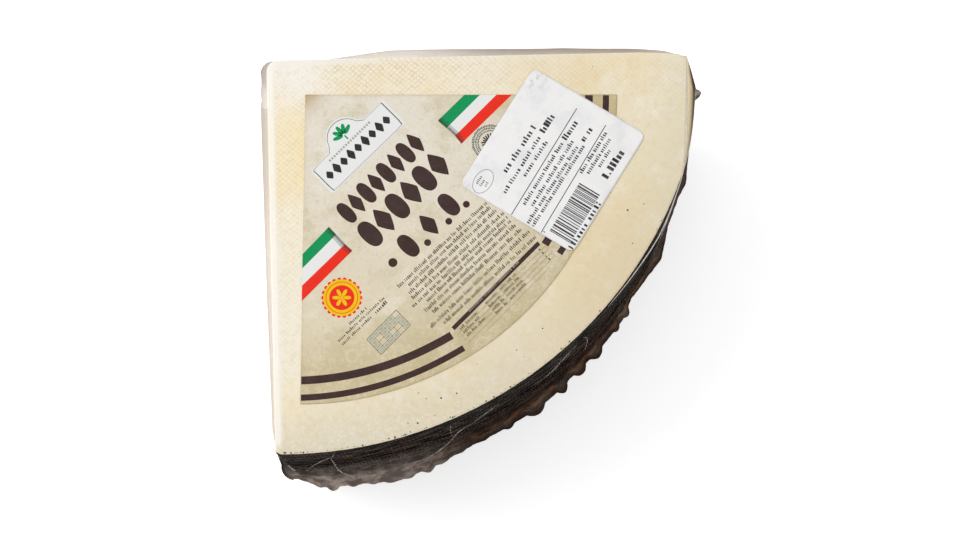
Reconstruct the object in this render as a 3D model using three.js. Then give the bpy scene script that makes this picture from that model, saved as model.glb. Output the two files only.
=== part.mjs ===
// An eighth of a hard ewe's-milk cheese wheel, sealed in a clear vacuum pouch.
// The wheel was halved across its axis and each half cut into quarters, so the portion stands on the
// wheel's own flat end, its round side is rind, and the top, back and left faces are fresh cuts.
// The pouch clings to the cheese and ends in a girth hem at about half height. A quarter-round paper
// label lies on the top face, and a small weigh label is stuck over it.
// Units are millimetres, +Z is up. +X runs along the back cut, and the round side faces +X and -Y.

import * as THREE from 'three';

// ---- The wheel and its cuts. Plan positions are measured from the wheel's axis. ----
const WHEEL_RADIUS = 176;
const PORTION_HEIGHT = 142;
const CUT_CORNER = new THREE.Vector2(-9.7, -8.25); // where the two upright cuts meet, just past the axis
const BACK_CUT_ANGLE = THREE.MathUtils.degToRad(1.0);
const LEFT_CUT_ANGLE = THREE.MathUtils.degToRad(-87.85);
const SIDE_TAPER = 1.5; // how much narrower the round side is at the wheel's end than at its middle

// ---- Rounded edges ----
const FOOT_ROUND = 26; // the wheel's own rounded end edge
const CUT_FOOT_ROUND = 3;
const TOP_CUT_ROUND = 2.5; // the pouch presses the cut edges of the face round
const TOP_RIM_ROUND = 0.8; // the rind stays crisp
const CUT_CORNER_ROUND = 5;
const BACK_RIND_CORNER_ROUND = 5;
const LEFT_RIND_CORNER_ROUND = 4;

// ---- The steep trimmed flat that takes the back right corner of the face down to the rind ----
const TRIM_LINE_X = 168.0; // at the back cut
const TRIM_LINE_LEAN = 0.03; // how fast that line falls back towards -Y
const TRIM_RUN = 0.16; // outward run for each millimetre down
const TRIM_SQUEEZE = 0.08; // keeps the clipped points apart

// ---- The pouch's hem ----
const HEM_HEIGHT = 74;
const HEM_THICKNESS = 1.6; // two films with a little air, at the tip
const HEM_ROOT = 2.2; // half height of the hem where it leaves the wall
const TENT_REACH = 15; // how far above and below the hem the film stands off the cheese
const TENT_SHARE = 0.16; // of the hem's width
const HEM_WAVE = 1.4; // the hem's rise and fall
// Hem widths along each stretch of the pouch, as [position, width] pairs. Positions are shares of the
// stretch, and on the rind degrees round the wheel's axis from the +X side.
const HEM_CUT_CORNER = [[0, 16], [0.3, 19.3], [0.44, 17.6], [0.57, 13.2], [0.8, 9.6], [1, 9.4]];
const HEM_LEFT = [[0, 9.4], [1, 7.2]];
const HEM_LEFT_CORNER = [[0, 7.2], [0.14, 5.3], [0.5, 4.7], [1, 4.8]];
const HEM_RIND = [
  [0, 1], [11, 1.4], [13, 1.6], [15.8, 2.8], [17.5, 1.8], [24, 1.7], [28, 3.9], [34, 2.4], [42, 5.6],
  [51, 7.6], [65, 6.4], [75, 9.8], [84, 9.2], [85.3, 9.9], [86.9, 8.3], [88.5, 6.1], [91, 4.8],
];
const HEM_BACK_CORNER = [[0, 1], [0.2, 1.6], [0.36, 4.7], [0.5, 4.3], [0.67, 7], [1, 16.5]];
const HEM_BACK = [[0, 16.5], [0.15, 18.6], [0.3, 20.6], [0.75, 20.6], [0.9, 17.8], [1, 16]];
const SCALLOP_COUNT = 33;
const SCALLOP_DEPTH = 1.5;
const SCALLOP_SHARE = 0.35; // the most that a scallop takes of the hem's width
const SCALLOP_DRIFT = 3; // how unevenly the folds follow each other

// ---- Labels ----
const PAPER = 0.4;
const PAPER_GAP = 0.3;
const LABEL_RADIUS = 131;
const LABEL_INSET = new THREE.Vector2(17.3, -15.9); // from the cut corner to the label's own corner
const LABEL_TURN = THREE.MathUtils.degToRad(-0.2);
const WEIGH_WIDTH = 55.3;
const WEIGH_LENGTH = 59.1;
const WEIGH_CORNER = 3.2;
const WEIGH_CENTRE = new THREE.Vector2(104.0, -28.4); // from the label's corner
const WEIGH_TURN = THREE.MathUtils.degToRad(-31.7);

// ---- How finely the pouch is drawn ----
const STEPS_CUT_CORNER = 10;
const STEPS_BACK = 26;
const STEPS_BACK_CORNER = 10;
const STEPS_SCALLOP = 4;
const STEPS_LEFT_CORNER = 7;
const STEPS_LEFT = 22;
const STEPS_LABEL_ARC = 44;
const STEPS_WEIGH_CORNER = 5;

const { lerp, radToDeg } = THREE.MathUtils;

// Straight interpolation in a short list of [position, value] pairs with rising positions.
function along(profile, position) {
  const next = profile.findIndex(([place]) => place > position);
  if (next === 0) return profile[0][1];
  if (next < 0) return profile[profile.length - 1][1];
  const [from, start] = profile[next - 1];
  const [to, end] = profile[next];
  return lerp(start, end, (position - from) / (to - from));
}

// A rounded corner between a straight cut and the round side: the centre of the rounding circle lies
// its own radius inside both.
function rindCorner(origin, direction, inward, wheelRadius, round) {
  const foot = origin.clone().addScaledVector(inward, round);
  const reach = wheelRadius - round;
  const half = foot.dot(direction);
  const distance = -half + Math.sqrt(half * half - foot.lengthSq() + reach * reach);
  return foot.clone().addScaledVector(direction, distance);
}

// The portion's outline seen from above, anticlockwise: cut corner, left cut, left rind corner, rind,
// back rind corner, back cut. Each station has its place, its outward normal, and the pouch's hem
// width and rise there.
function outline(wheelRadius, cutInset) {
  const back = new THREE.Vector2(Math.cos(BACK_CUT_ANGLE), Math.sin(BACK_CUT_ANGLE));
  const left = new THREE.Vector2(Math.cos(LEFT_CUT_ANGLE), Math.sin(LEFT_CUT_ANGLE));
  const backIn = new THREE.Vector2(back.y, -back.x);
  const leftIn = new THREE.Vector2(-left.y, left.x);
  const opening = BACK_CUT_ANGLE - LEFT_CUT_ANGLE;
  const insetShift = cutInset / Math.sin(opening / 2);
  const bisector = back.clone().add(left).normalize();
  const corner = CUT_CORNER.clone().addScaledVector(bisector, insetShift);

  const cornerCentre = corner.clone().addScaledVector(bisector, CUT_CORNER_ROUND / Math.sin(opening / 2));
  const backCentre = rindCorner(corner, back, backIn, wheelRadius, BACK_RIND_CORNER_ROUND);
  const leftCentre = rindCorner(corner, left, leftIn, wheelRadius, LEFT_RIND_CORNER_ROUND);
  const stations = [];

  const arc = (centre, radius, from, to, steps, describe) => {
    for (let i = 0; i < steps; i++) {
      const share = i / steps;
      const angle = lerp(from, to, share);
      const normal = new THREE.Vector2(Math.cos(angle), Math.sin(angle));
      const place = centre.clone().addScaledVector(normal, radius);
      stations.push({ place, normal, ...describe(share, angle) });
    }
  };
  const straight = (from, to, normal, steps, describe) => {
    for (let i = 0; i < steps; i++) {
      const share = i / steps;
      stations.push({ place: from.clone().lerp(to, share), normal, ...describe(share) });
    }
  };

  const backNormal = BACK_CUT_ANGLE + Math.PI / 2;
  const leftNormal = LEFT_CUT_ANGLE + 3 * Math.PI / 2;

  arc(cornerCentre, CUT_CORNER_ROUND, backNormal, leftNormal, STEPS_CUT_CORNER, (share) => ({
    hem: along(HEM_CUT_CORNER, share),
    rise: -HEM_WAVE * share,
  }));
  const leftStart = cornerCentre.clone().addScaledVector(leftIn, -CUT_CORNER_ROUND);
  const leftEnd = leftCentre.clone().addScaledVector(leftIn, -LEFT_RIND_CORNER_ROUND);
  straight(leftStart, leftEnd, leftIn.clone().negate(), STEPS_LEFT, (share) => ({
    hem: along(HEM_LEFT, share),
    rise: -HEM_WAVE * Math.cos(2 * Math.PI * share),
  }));
  const leftRindAngle = Math.atan2(leftCentre.y, leftCentre.x);
  const backRindAngle = Math.atan2(backCentre.y, backCentre.x);
  const leftTurnEnd = leftRindAngle + 2 * Math.PI;
  arc(leftCentre, LEFT_RIND_CORNER_ROUND, leftNormal, leftTurnEnd, STEPS_LEFT_CORNER, (share) => ({
    hem: along(HEM_LEFT_CORNER, share),
    rise: -HEM_WAVE * (1 - share),
  }));
  const axis = new THREE.Vector2();
  const rindSteps = SCALLOP_COUNT * STEPS_SCALLOP;
  arc(axis, wheelRadius, leftRindAngle, backRindAngle, rindSteps, (share, angle) => {
    const width = along(HEM_RIND, -radToDeg(angle));
    const depth = Math.min(SCALLOP_DEPTH, SCALLOP_SHARE * width);
    const fold = Math.PI * SCALLOP_COUNT * share;
    const drift = SCALLOP_DRIFT * Math.sin(SCALLOP_DRIFT ** 2 * share);
    return {
      hem: width + depth * (Math.abs(Math.sin(fold)) - 0.5),
      rise: HEM_WAVE * Math.sin(fold + drift) * depth / SCALLOP_DEPTH,
    };
  });
  arc(backCentre, BACK_RIND_CORNER_ROUND, backRindAngle, backNormal, STEPS_BACK_CORNER, (share) => ({
    hem: along(HEM_BACK_CORNER, share),
    rise: HEM_WAVE * share,
  }));
  const backStart = backCentre.clone().addScaledVector(backIn, -BACK_RIND_CORNER_ROUND);
  const backEnd = cornerCentre.clone().addScaledVector(backIn, -CUT_CORNER_ROUND);
  straight(backStart, backEnd, backIn.clone().negate(), STEPS_BACK, (share) => ({
    hem: along(HEM_BACK, share),
    rise: HEM_WAVE * Math.cos(3 * Math.PI * share),
  }));
  return stations;
}

// How far a rounded edge draws in at a given distance from the flat it ends in.
function roundInset(round, distance) {
  if (distance >= round) return 0;
  return round - Math.sqrt(round * round - (round - distance) ** 2);
}

// The level outlines that the pouch is lofted through, from the foot to the top face.
function pouchRings() {
  const top = PORTION_HEIGHT;
  const wall = (z) => ({ z, standOff: () => 0 });
  const tent = (z) => ({
    z,
    standOff: (station) => TENT_SHARE * station.hem * (1 - Math.abs(z - HEM_HEIGHT) / TENT_REACH) ** 2,
  });
  const hemTip = (side) => ({
    z: HEM_HEIGHT,
    lift: (station) => side * HEM_THICKNESS / 2 + station.rise,
    standOff: (station) => station.hem,
  });
  const shares = (from, to, list) => list.map((share) => lerp(from, to, share));
  return [
    ...shares(0, FOOT_ROUND, [0, 0.035, 0.115, 0.27, 0.46, 0.7, 1]).map(wall),
    wall((FOOT_ROUND + HEM_HEIGHT - TENT_REACH) / 2),
    ...shares(HEM_HEIGHT - TENT_REACH, HEM_HEIGHT - HEM_ROOT, [0, 0.6, 1]).map(tent),
    hemTip(-1),
    hemTip(1),
    ...shares(HEM_HEIGHT + HEM_ROOT, HEM_HEIGHT + TENT_REACH, [0, 0.4, 1]).map(tent),
    ...shares(HEM_HEIGHT + TENT_REACH, top - TOP_CUT_ROUND, [0.25, 0.5, 0.75, 0.9, 1]).map(wall),
    wall(top - TOP_RIM_ROUND),
    wall(top),
  ].map(({ z, lift = () => 0, standOff }) => {
    const cutInset = roundInset(CUT_FOOT_ROUND, z) + roundInset(TOP_CUT_ROUND, top - z);
    const taper = SIDE_TAPER * ((top - z) / top) ** 2;
    const radius = WHEEL_RADIUS - taper - roundInset(FOOT_ROUND, z) - roundInset(TOP_RIM_ROUND, top - z);
    return outline(radius, cutInset).map((station) => {
      const place = station.place.clone().addScaledVector(station.normal, standOff(station));
      const trim = TRIM_LINE_X + TRIM_LINE_LEAN * place.y + TRIM_RUN * (top - z);
      if (place.x > trim && z > HEM_HEIGHT + TENT_REACH) place.x = trim + TRIM_SQUEEZE * (place.x - trim);
      return new THREE.Vector3(place.x, place.y, z + lift(station));
    });
  });
}

// A closed skin through rings that all have the same number of points, each running anticlockwise
// seen from above, with a flat fan over the first and the last.
function loft(rings) {
  const count = rings[0].length;
  const points = rings.flat();
  const faces = [];
  for (let level = 0; level + 1 < rings.length; level++) {
    for (let i = 0; i < count; i++) {
      const next = (i + 1) % count;
      const a = level * count + i;
      const b = level * count + next;
      faces.push([a, b, b + count], [a, b + count, a + count]);
    }
  }
  const cap = (ring, first, flip) => {
    const centre = ring.reduce((sum, p) => sum.add(p), new THREE.Vector3()).divideScalar(count);
    points.push(centre);
    const middle = points.length - 1;
    for (let i = 0; i < count; i++) {
      const edge = [first + i, first + (i + 1) % count];
      faces.push(flip ? [middle, edge[1], edge[0]] : [middle, edge[0], edge[1]]);
    }
  };
  cap(rings[0], 0, true);
  cap(rings[rings.length - 1], (rings.length - 1) * count, false);

  const geometry = new THREE.BufferGeometry();
  geometry.setAttribute('position', new THREE.Float32BufferAttribute(points.flatMap((p) => p.toArray()), 3));
  geometry.setIndex(faces.flat());
  geometry.computeVertexNormals();
  return geometry;
}

// A flat sheet of paper cut to a shape.
function sheet(shape, curveSegments) {
  return new THREE.ExtrudeGeometry(shape, { depth: PAPER, bevelEnabled: false, curveSegments });
}

function quarterShape(radius) {
  const shape = new THREE.Shape();
  shape.moveTo(0, 0);
  shape.lineTo(0, -radius);
  shape.absarc(0, 0, radius, -Math.PI / 2, 0, false);
  shape.lineTo(0, 0);
  return shape;
}

function roundedRectangle(width, height, round) {
  const x = width / 2;
  const y = height / 2;
  const shape = new THREE.Shape();
  shape.moveTo(-x + round, -y);
  shape.lineTo(x - round, -y);
  shape.absarc(x - round, -y + round, round, -Math.PI / 2, 0, false);
  shape.lineTo(x, y - round);
  shape.absarc(x - round, y - round, round, 0, Math.PI / 2, false);
  shape.lineTo(-x + round, y);
  shape.absarc(-x + round, y - round, round, Math.PI / 2, Math.PI, false);
  shape.lineTo(-x, -y + round);
  shape.absarc(-x + round, -y + round, round, Math.PI, 1.5 * Math.PI, false);
  return shape;
}

function mesh(name, geometry, material) {
  const result = new THREE.Mesh(geometry, material);
  result.name = name;
  return result;
}

const paste = new THREE.MeshStandardMaterial({ color: 0xe9dbbd, roughness: 0.35, metalness: 0 });
const labelPaper = new THREE.MeshStandardMaterial({ color: 0xe0d5bd, roughness: 0.55, metalness: 0 });
const weighPaper = new THREE.MeshStandardMaterial({ color: 0xe6e5e2, roughness: 0.45, metalness: 0 });

const portion = new THREE.Group();
portion.add(mesh('sealed_cheese', loft(pouchRings()), paste));

const labels = new THREE.Group();
const labelCorner = CUT_CORNER.clone().add(LABEL_INSET);
labels.position.set(labelCorner.x, labelCorner.y, PORTION_HEIGHT + PAPER_GAP);
const frontShape = quarterShape(LABEL_RADIUS);
const frontLabel = mesh('front_label', sheet(frontShape, STEPS_LABEL_ARC), labelPaper);
frontLabel.rotation.z = LABEL_TURN;
const weighShape = roundedRectangle(WEIGH_WIDTH, WEIGH_LENGTH, WEIGH_CORNER);
const weighLabel = mesh('weigh_label', sheet(weighShape, STEPS_WEIGH_CORNER), weighPaper);
weighLabel.position.set(WEIGH_CENTRE.x, WEIGH_CENTRE.y, PAPER + PAPER_GAP);
weighLabel.rotation.z = WEIGH_TURN;
labels.add(frontLabel, weighLabel);
portion.add(labels);

// The origin is the middle of the base.
const extent = new THREE.Box3().setFromObject(portion);
const middle = extent.getCenter(new THREE.Vector3());
portion.position.set(-middle.x, -middle.y, -extent.min.z);

const group = new THREE.Group();
group.add(portion);

export default group;
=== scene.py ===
"""An eighth of a dark-rinded ewe's-milk wheel in a clear vacuum pouch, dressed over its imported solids."""
import math
import random

import bpy
import numpy as np
from mathutils import Matrix, Vector, noise


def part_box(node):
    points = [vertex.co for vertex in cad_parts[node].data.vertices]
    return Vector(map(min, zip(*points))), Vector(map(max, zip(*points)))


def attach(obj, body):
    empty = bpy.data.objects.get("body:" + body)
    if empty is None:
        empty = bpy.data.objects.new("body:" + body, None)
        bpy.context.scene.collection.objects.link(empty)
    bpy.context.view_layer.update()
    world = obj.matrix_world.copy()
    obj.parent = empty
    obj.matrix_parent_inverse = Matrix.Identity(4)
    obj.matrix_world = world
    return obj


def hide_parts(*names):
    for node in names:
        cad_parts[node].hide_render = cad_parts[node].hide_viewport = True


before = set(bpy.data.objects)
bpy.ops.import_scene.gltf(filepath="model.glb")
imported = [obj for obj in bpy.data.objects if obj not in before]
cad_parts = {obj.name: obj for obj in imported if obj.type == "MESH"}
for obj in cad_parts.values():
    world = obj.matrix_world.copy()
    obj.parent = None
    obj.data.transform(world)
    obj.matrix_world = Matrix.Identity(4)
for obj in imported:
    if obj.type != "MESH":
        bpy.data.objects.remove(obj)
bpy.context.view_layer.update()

# ---- The portion, in millimetres from the wheel's axis and from the base ----
WHEEL_RADIUS = 176.0
HEIGHT = 142.0
CUT_CORNER = np.array([-9.7, -8.25])
BACK_CUT_ANGLE = math.radians(1.0)
LEFT_CUT_ANGLE = math.radians(-87.85)
SIDE_TAPER = 1.5
FOOT_ROUND = 26.0
CUT_FOOT_ROUND = 3.0
TOP_CUT_ROUND = 2.5
TOP_RIM_ROUND = 0.8
CUT_CORNER_ROUND = 5.0
BACK_RIND_CORNER_ROUND = 5.0
LEFT_RIND_CORNER_ROUND = 2.2
TRIM_LINE_X = 168.0
TRIM_LINE_LEAN = 0.03
TRIM_RUN = 0.16
TRIM_SQUEEZE = 0.08
TRIM_EDGE_NOISE = 0.35
RIND_TRIM_SKIN = 0.5
RIND_BARE_TOP = 1.3  # how high the rind comes under the cut sides
BACK_DROOP = 1.1
BACK_DROOP_SPAN = (144.0, 172.0)  # along the back cut
CORNER_DROOP = 1.0
CORNER_DROOP_SPAN = (161.0, 170.0)
FACE_MIDDLE = (62.0, -62.0)
FILM_MIDDLE = (62.0, -68.0)
CHEESE_MIDDLE = np.array([70.0, -70.0, 60.0])

# ---- The pouch. A hem list is (share of a stretch of the outline, width), unless it says otherwise ----
HEM_HEIGHT = 74.0
HEM_THICKNESS = 0.7
HEM_ROOT = 1.8
TENT_REACH = 15.0
TENT_SHARE = 0.16
HEM_WAVE = 1.4
HEM_ROOT_VEIL = 0.85
PLEAT_RISE = 1.1
HEM_CUT_CORNER = [(0, 16), (0.3, 19.6), (0.42, 18.4), (0.5, 14.6), (0.57, 12.8), (0.8, 9.6), (1, 9.4)]
HEM_LEFT = [(0, 9.4), (0.9, 7.4), (0.965, 5.8), (1, 3.8)]
HEM_LEFT_CORNER = [(0, 3.8), (0.14, 4.0), (0.5, 4.4), (1, 4.8)]
HEM_RIND = [  # (degrees round the rind, width)
    (0, 1), (3, 0.9), (10, 0.6), (13, 1.4), (15.8, 2.8), (18, 1.3), (22.5, 1.3), (27.3, 4.7), (30, 3.3),
    (34.3, 2.2), (37.5, 4.6), (42, 5.1), (48.3, 5.4), (52.5, 6.6), (57.8, 6.6), (65, 6.5), (68.3, 7.6),
    (71, 8.8), (73.2, 9.3), (76, 10.3), (79, 9.4), (81, 8.6), (83.5, 8.4), (86.5, 8.1), (88, 6.4),
    (90, 4.2), (91, 4.4),
]
PUCKERS = [  # (degrees round the rind, how far it stands out, half its width in degrees)
    (36.4, 1.7, 0.8), (39, 1.1, 0.7), (43.5, 2.2, 1.3), (46.8, 2.2, 1.2), (50.3, 2.5, 1.0),
    (55.0, 2.5, 1.6), (59.4, 1.0, 0.8), (63.4, 0.4, 0.9), (66.8, 0.4, 0.8), (69.6, 0.6, 0.9),
    (71.9, 1.4, 1.0), (74.6, 0.8, 0.9), (77.1, 0.6, 0.9), (79.7, 0.5, 0.6), (82.3, 0.8, 0.8),
    (85.1, 1.8, 0.9), (87.1, 0.6, 0.6),
]
HEM_BACK_CORNER = [
    (0, 1), (0.1, 1.6), (0.2, 3.4), (0.32, 5.0), (0.44, 4.7), (0.52, 4.2), (0.67, 6.5), (0.85, 11.0),
    (0.94, 15.6), (1, 17.8),
]
HEM_BACK = [
    (0, 17.8), (0.04, 18.5), (0.11, 19.1), (0.2, 19.7), (0.3, 20.6), (0.75, 20.6), (0.9, 17.8), (1, 16),
]

# ---- How the skins lie on each other at the top, bottom to top ----
PASTE_SKIN = 0.3
RIND_SKIN = 0.15
PASTE_TOP = HEIGHT + 0.15
PASTE_BOTTOM = 0.3
RIND_BOTTOM = 0.12
LABEL_BOTTOM = HEIGHT + 0.2
LABEL_TOP = HEIGHT + 0.45
FILM_TOP = HEIGHT + 0.32
FILM_OVER_LABEL = HEIGHT + 0.62
STICKER_GAP = 0.12
STICKER_PAPER = 0.2

# ---- Labels ----
LABEL_RADIUS = 131.0
LABEL_CORNER_ROUND = 0.1
LABEL_TURN = math.radians(-0.2)
LABEL_CORNER = np.array([7.6, -24.15])
LABEL_MIDDLE = np.array([54.0, -68.0])
FILM_STEP = 4.0  # how far outside the label the film comes down
STICKER_SIZE = (55.3, 59.1)
STICKER_ROUND = 3.2
STICKER_STEPS = (58, 62)
STICKER_CENTRE = LABEL_CORNER + np.array([104.0, -28.4])
STICKER_TURN = math.radians(-31.7)

# ---- Steps along each stretch of the outline ----
STRETCH_STEPS = {
    "cut_corner": 16, "left": 60, "left_corner": 14, "rind": 396, "back_corner": 16, "back": 72,
}
STATION_COUNT = sum(STRETCH_STEPS.values())

# ---- Heights of the rings of the skins, which share the foot's so that they don't cross there ----
FOOT_LEVELS = [FOOT_ROUND * (1 - math.cos(math.pi / 36 * k)) for k in range(19)]
PASTE_WALL = list(np.linspace(FOOT_ROUND, HEIGHT - TOP_CUT_ROUND, 30)[1:])
PASTE_RIM = [HEIGHT - drop for drop in (2.0, 1.5, 1.0, 0.7, 0.4, 0.15, 0)]
PASTE_FACE_SHARES = (0.995, 0.985, 0.97, 0.93, 0.88, 0.82, 0.75, 0.67, 0.58, 0.48, 0.36, 0.22, 0.1)
RIND_CLIMBS = [1, 0.998, 0.993] + list(np.linspace(0.982, 0.03, 34))  # shares from the foot to the rim
RIND_UNDER_SHARES = (0.1, 0.4, 0.7, 0.9)
RIND_GRID = np.array(FOOT_LEVELS + list(range(31, 140, 6)) + [
    HEIGHT - drop for drop in (2, 1, 0.8, 0.6, 0.4, 0.25, 0.12, 0.04, 0)
])
FILM_WALL_LOW = (*FOOT_LEVELS, 36, 47, 59, 61.5, 64, 66.5, 69, 71)
FILM_WALL_HIGH = (
    77, 79, 81.5, 84, 86.5, 89, 98, 107, 116, 125, 133, 137, 139.5, 140.2, 140.8, 141.2, 141.5, 141.8,
)
HEM_SHARES = (0, 0.2, 0.4, 0.6, 0.8, 0.93, 1)
FILM_SILL_SHARES = (0.3, 0.65)  # from the rim to where the film starts to climb over the label
FILM_CLIMB = (FILM_STEP, 3.0, 2.0, 1.0, 0.3, -1.5)  # how far outside the label
FILM_FACE_SHARES = (0.94, 0.86, 0.76, 0.65, 0.53, 0.4, 0.27, 0.14)

label_low, label_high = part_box("front_label")
AXIS = np.array([
    label_low.x * 1000 - LABEL_RADIUS * math.sin(LABEL_TURN) - LABEL_CORNER[0],
    label_high.y * 1000 - LABEL_CORNER[1],
])


def metres(points):
    """Points in millimetres from the wheel's axis, as metres in the frame."""
    points = np.asarray(points, float).reshape(-1, 3).copy()
    points[:, :2] += AXIS
    return points / 1000


def lerp(a, b, t):
    """From a to b as t goes from 0 to 1."""
    return a + (b - a) * t


def smooth(t):
    """0 to 1 as t goes from 0 to 1, with soft ends."""
    t = np.clip(t, 0, 1)
    return t * t * (3 - 2 * t)


def profile(pairs, position):
    """The value at a position, from a list of places and values."""
    places, values = zip(*pairs)
    return float(np.interp(position, places, values))


def heading(angle):
    """The direction of an angle, seen from above."""
    return np.array([math.cos(angle), math.sin(angle)])


def turns(count):
    """Even angles all the way round."""
    return [2 * math.pi * k / count for k in range(count)]


def rise_over(span, x):
    """0 before a span, 1 past it, smooth in between."""
    return float(smooth((x - span[0]) / (span[1] - span[0])))


def ripple(*place, scale=1.0, seed=0.0):
    """Smooth noise from -1 to 1 at a place in millimetres."""
    vector = Vector([p / scale for p in place] + [seed] * (3 - len(place)))
    return noise.noise(vector + Vector((seed * 3.1, seed * 1.7, seed)))


# ---------------------------------------------------------------- the outline

def round_inset(rounding, distance):
    """How far a rounded edge lies inside its flat, at a distance from the edge."""
    if distance >= rounding:
        return 0.0
    return rounding - math.sqrt(rounding ** 2 - (rounding - distance) ** 2)


def rind_corner(origin, direction, inward, radius, rounding):
    """The middle of the rounding where a cut from an origin meets the rind's circle."""
    foot = origin + inward * rounding
    half = foot @ direction
    return foot + direction * (math.sqrt(half * half - foot @ foot + (radius - rounding) ** 2) - half)


def outline(radius, cut_inset):
    """Stations round the portion, anticlockwise, with place, normal, stretch, share of it and angle."""
    back, left = heading(BACK_CUT_ANGLE), heading(LEFT_CUT_ANGLE)
    back_in = np.array([back[1], -back[0]])
    left_in = np.array([-left[1], left[0]])
    opening = math.sin((BACK_CUT_ANGLE - LEFT_CUT_ANGLE) / 2)
    bisector = (back + left) / np.linalg.norm(back + left)
    corner = CUT_CORNER + bisector * cut_inset / opening
    cut_centre = corner + bisector * CUT_CORNER_ROUND / opening
    back_centre = rind_corner(corner, back, back_in, radius, BACK_RIND_CORNER_ROUND)
    left_centre = rind_corner(corner, left, left_in, radius, LEFT_RIND_CORNER_ROUND)
    back_normal = BACK_CUT_ANGLE + math.pi / 2
    left_normal = LEFT_CUT_ANGLE + 1.5 * math.pi
    left_rind = math.atan2(left_centre[1], left_centre[0])
    back_rind = math.atan2(back_centre[1], back_centre[0])
    stations = []

    def add(place, normal, stretch, share, angle=0.0):
        stations.append(dict(place=place, normal=normal, stretch=stretch, share=share, angle=angle))

    def arc(stretch, centre, r, start, end):
        steps = STRETCH_STEPS[stretch]
        for i in range(steps):
            angle = lerp(start, end, i / steps)
            normal = heading(angle)
            add(centre + normal * r, normal, stretch, i / steps, angle)

    def straight(stretch, start, end, normal):
        steps = STRETCH_STEPS[stretch]
        for i in range(steps):
            add(lerp(start, end, i / steps), normal, stretch, i / steps)

    arc("cut_corner", cut_centre, CUT_CORNER_ROUND, back_normal, left_normal)
    left_start = cut_centre - left_in * CUT_CORNER_ROUND
    straight("left", left_start, left_centre - left_in * LEFT_RIND_CORNER_ROUND, -left_in)
    arc("left_corner", left_centre, LEFT_RIND_CORNER_ROUND, left_normal, left_rind + 2 * math.pi)
    arc("rind", np.zeros(2), radius, left_rind, back_rind)
    arc("back_corner", back_centre, BACK_RIND_CORNER_ROUND, back_rind, back_normal)
    back_start = back_centre - back_in * BACK_RIND_CORNER_ROUND
    straight("back", back_start, cut_centre - back_in * CUT_CORNER_ROUND, -back_in)
    return stations


def hem_of(station):
    """Hem width and rise at a station."""
    share, stretch = station["share"], station["stretch"]
    if stretch == "cut_corner":
        return profile(HEM_CUT_CORNER, share), -HEM_WAVE * share
    if stretch == "left":
        return profile(HEM_LEFT, share), -HEM_WAVE * math.cos(2 * math.pi * share)
    if stretch == "left_corner":
        return profile(HEM_LEFT_CORNER, share), -HEM_WAVE * (1 - share)
    if stretch == "rind":
        degrees = -math.degrees(station["angle"])
        stand = 0
        for place, tall, half in PUCKERS:
            off = (degrees - place) / half
            stand += tall * max(0.0, 1 - off * off)
        width = profile(HEM_RIND, degrees) + stand + 0.25 * ripple(degrees, scale=0.8, seed=7)
        wave = 0.8 * ripple(degrees, scale=2.6, seed=2) - 0.4 * stand
        return width, HEM_WAVE * wave * min(1.0, width / 4)
    if stretch == "back_corner":
        return profile(HEM_BACK_CORNER, share), HEM_WAVE * share
    return profile(HEM_BACK, share), HEM_WAVE * math.cos(3 * math.pi * share)


def side_radius(z):
    """The radius of the round side at a height."""
    taper = SIDE_TAPER * ((HEIGHT - z) / HEIGHT) ** 2
    return WHEEL_RADIUS - taper - round_inset(FOOT_ROUND, z) - round_inset(TOP_RIM_ROUND, HEIGHT - z)


def cut_inset(z):
    """How far a cut side lies inside its plane at a height."""
    return round_inset(CUT_FOOT_ROUND, z) + round_inset(TOP_CUT_ROUND, HEIGHT - z)


def trim_line(y, z):
    """Where the trimmed corner's flat lies, for a place across the portion and a height."""
    return TRIM_LINE_X + TRIM_LINE_LEAN * y + TRIM_RUN * (HEIGHT - z)


def droop(x):
    """How far the back cut falls away toward the rind."""
    return BACK_DROOP * rise_over(BACK_DROOP_SPAN, x) + CORNER_DROOP * rise_over(CORNER_DROOP_SPAN, x)


def level(z, skin=0.0, trim_skin=0.0):
    """The stations of the wall at one height, inside the solid by a skin, with the corner trimmed."""
    z = min(max(z, 0.0), HEIGHT)
    stations = outline(side_radius(z) - skin, cut_inset(z) + skin)
    for station in stations:
        place = station["place"]
        if station["stretch"] == "back":
            place[1] -= droop(place[0])
        if station["stretch"] == "back_corner":
            place[1] -= droop(place[0]) * min(1.0, station["share"] / 0.6)
        line = trim_line(place[1], z) - trim_skin
        station["trimmed"] = place[0] - line
        if place[0] > line and z > HEM_HEIGHT + TENT_REACH:
            place[0] = line + TRIM_SQUEEZE * (place[0] - line)
    return stations


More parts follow.
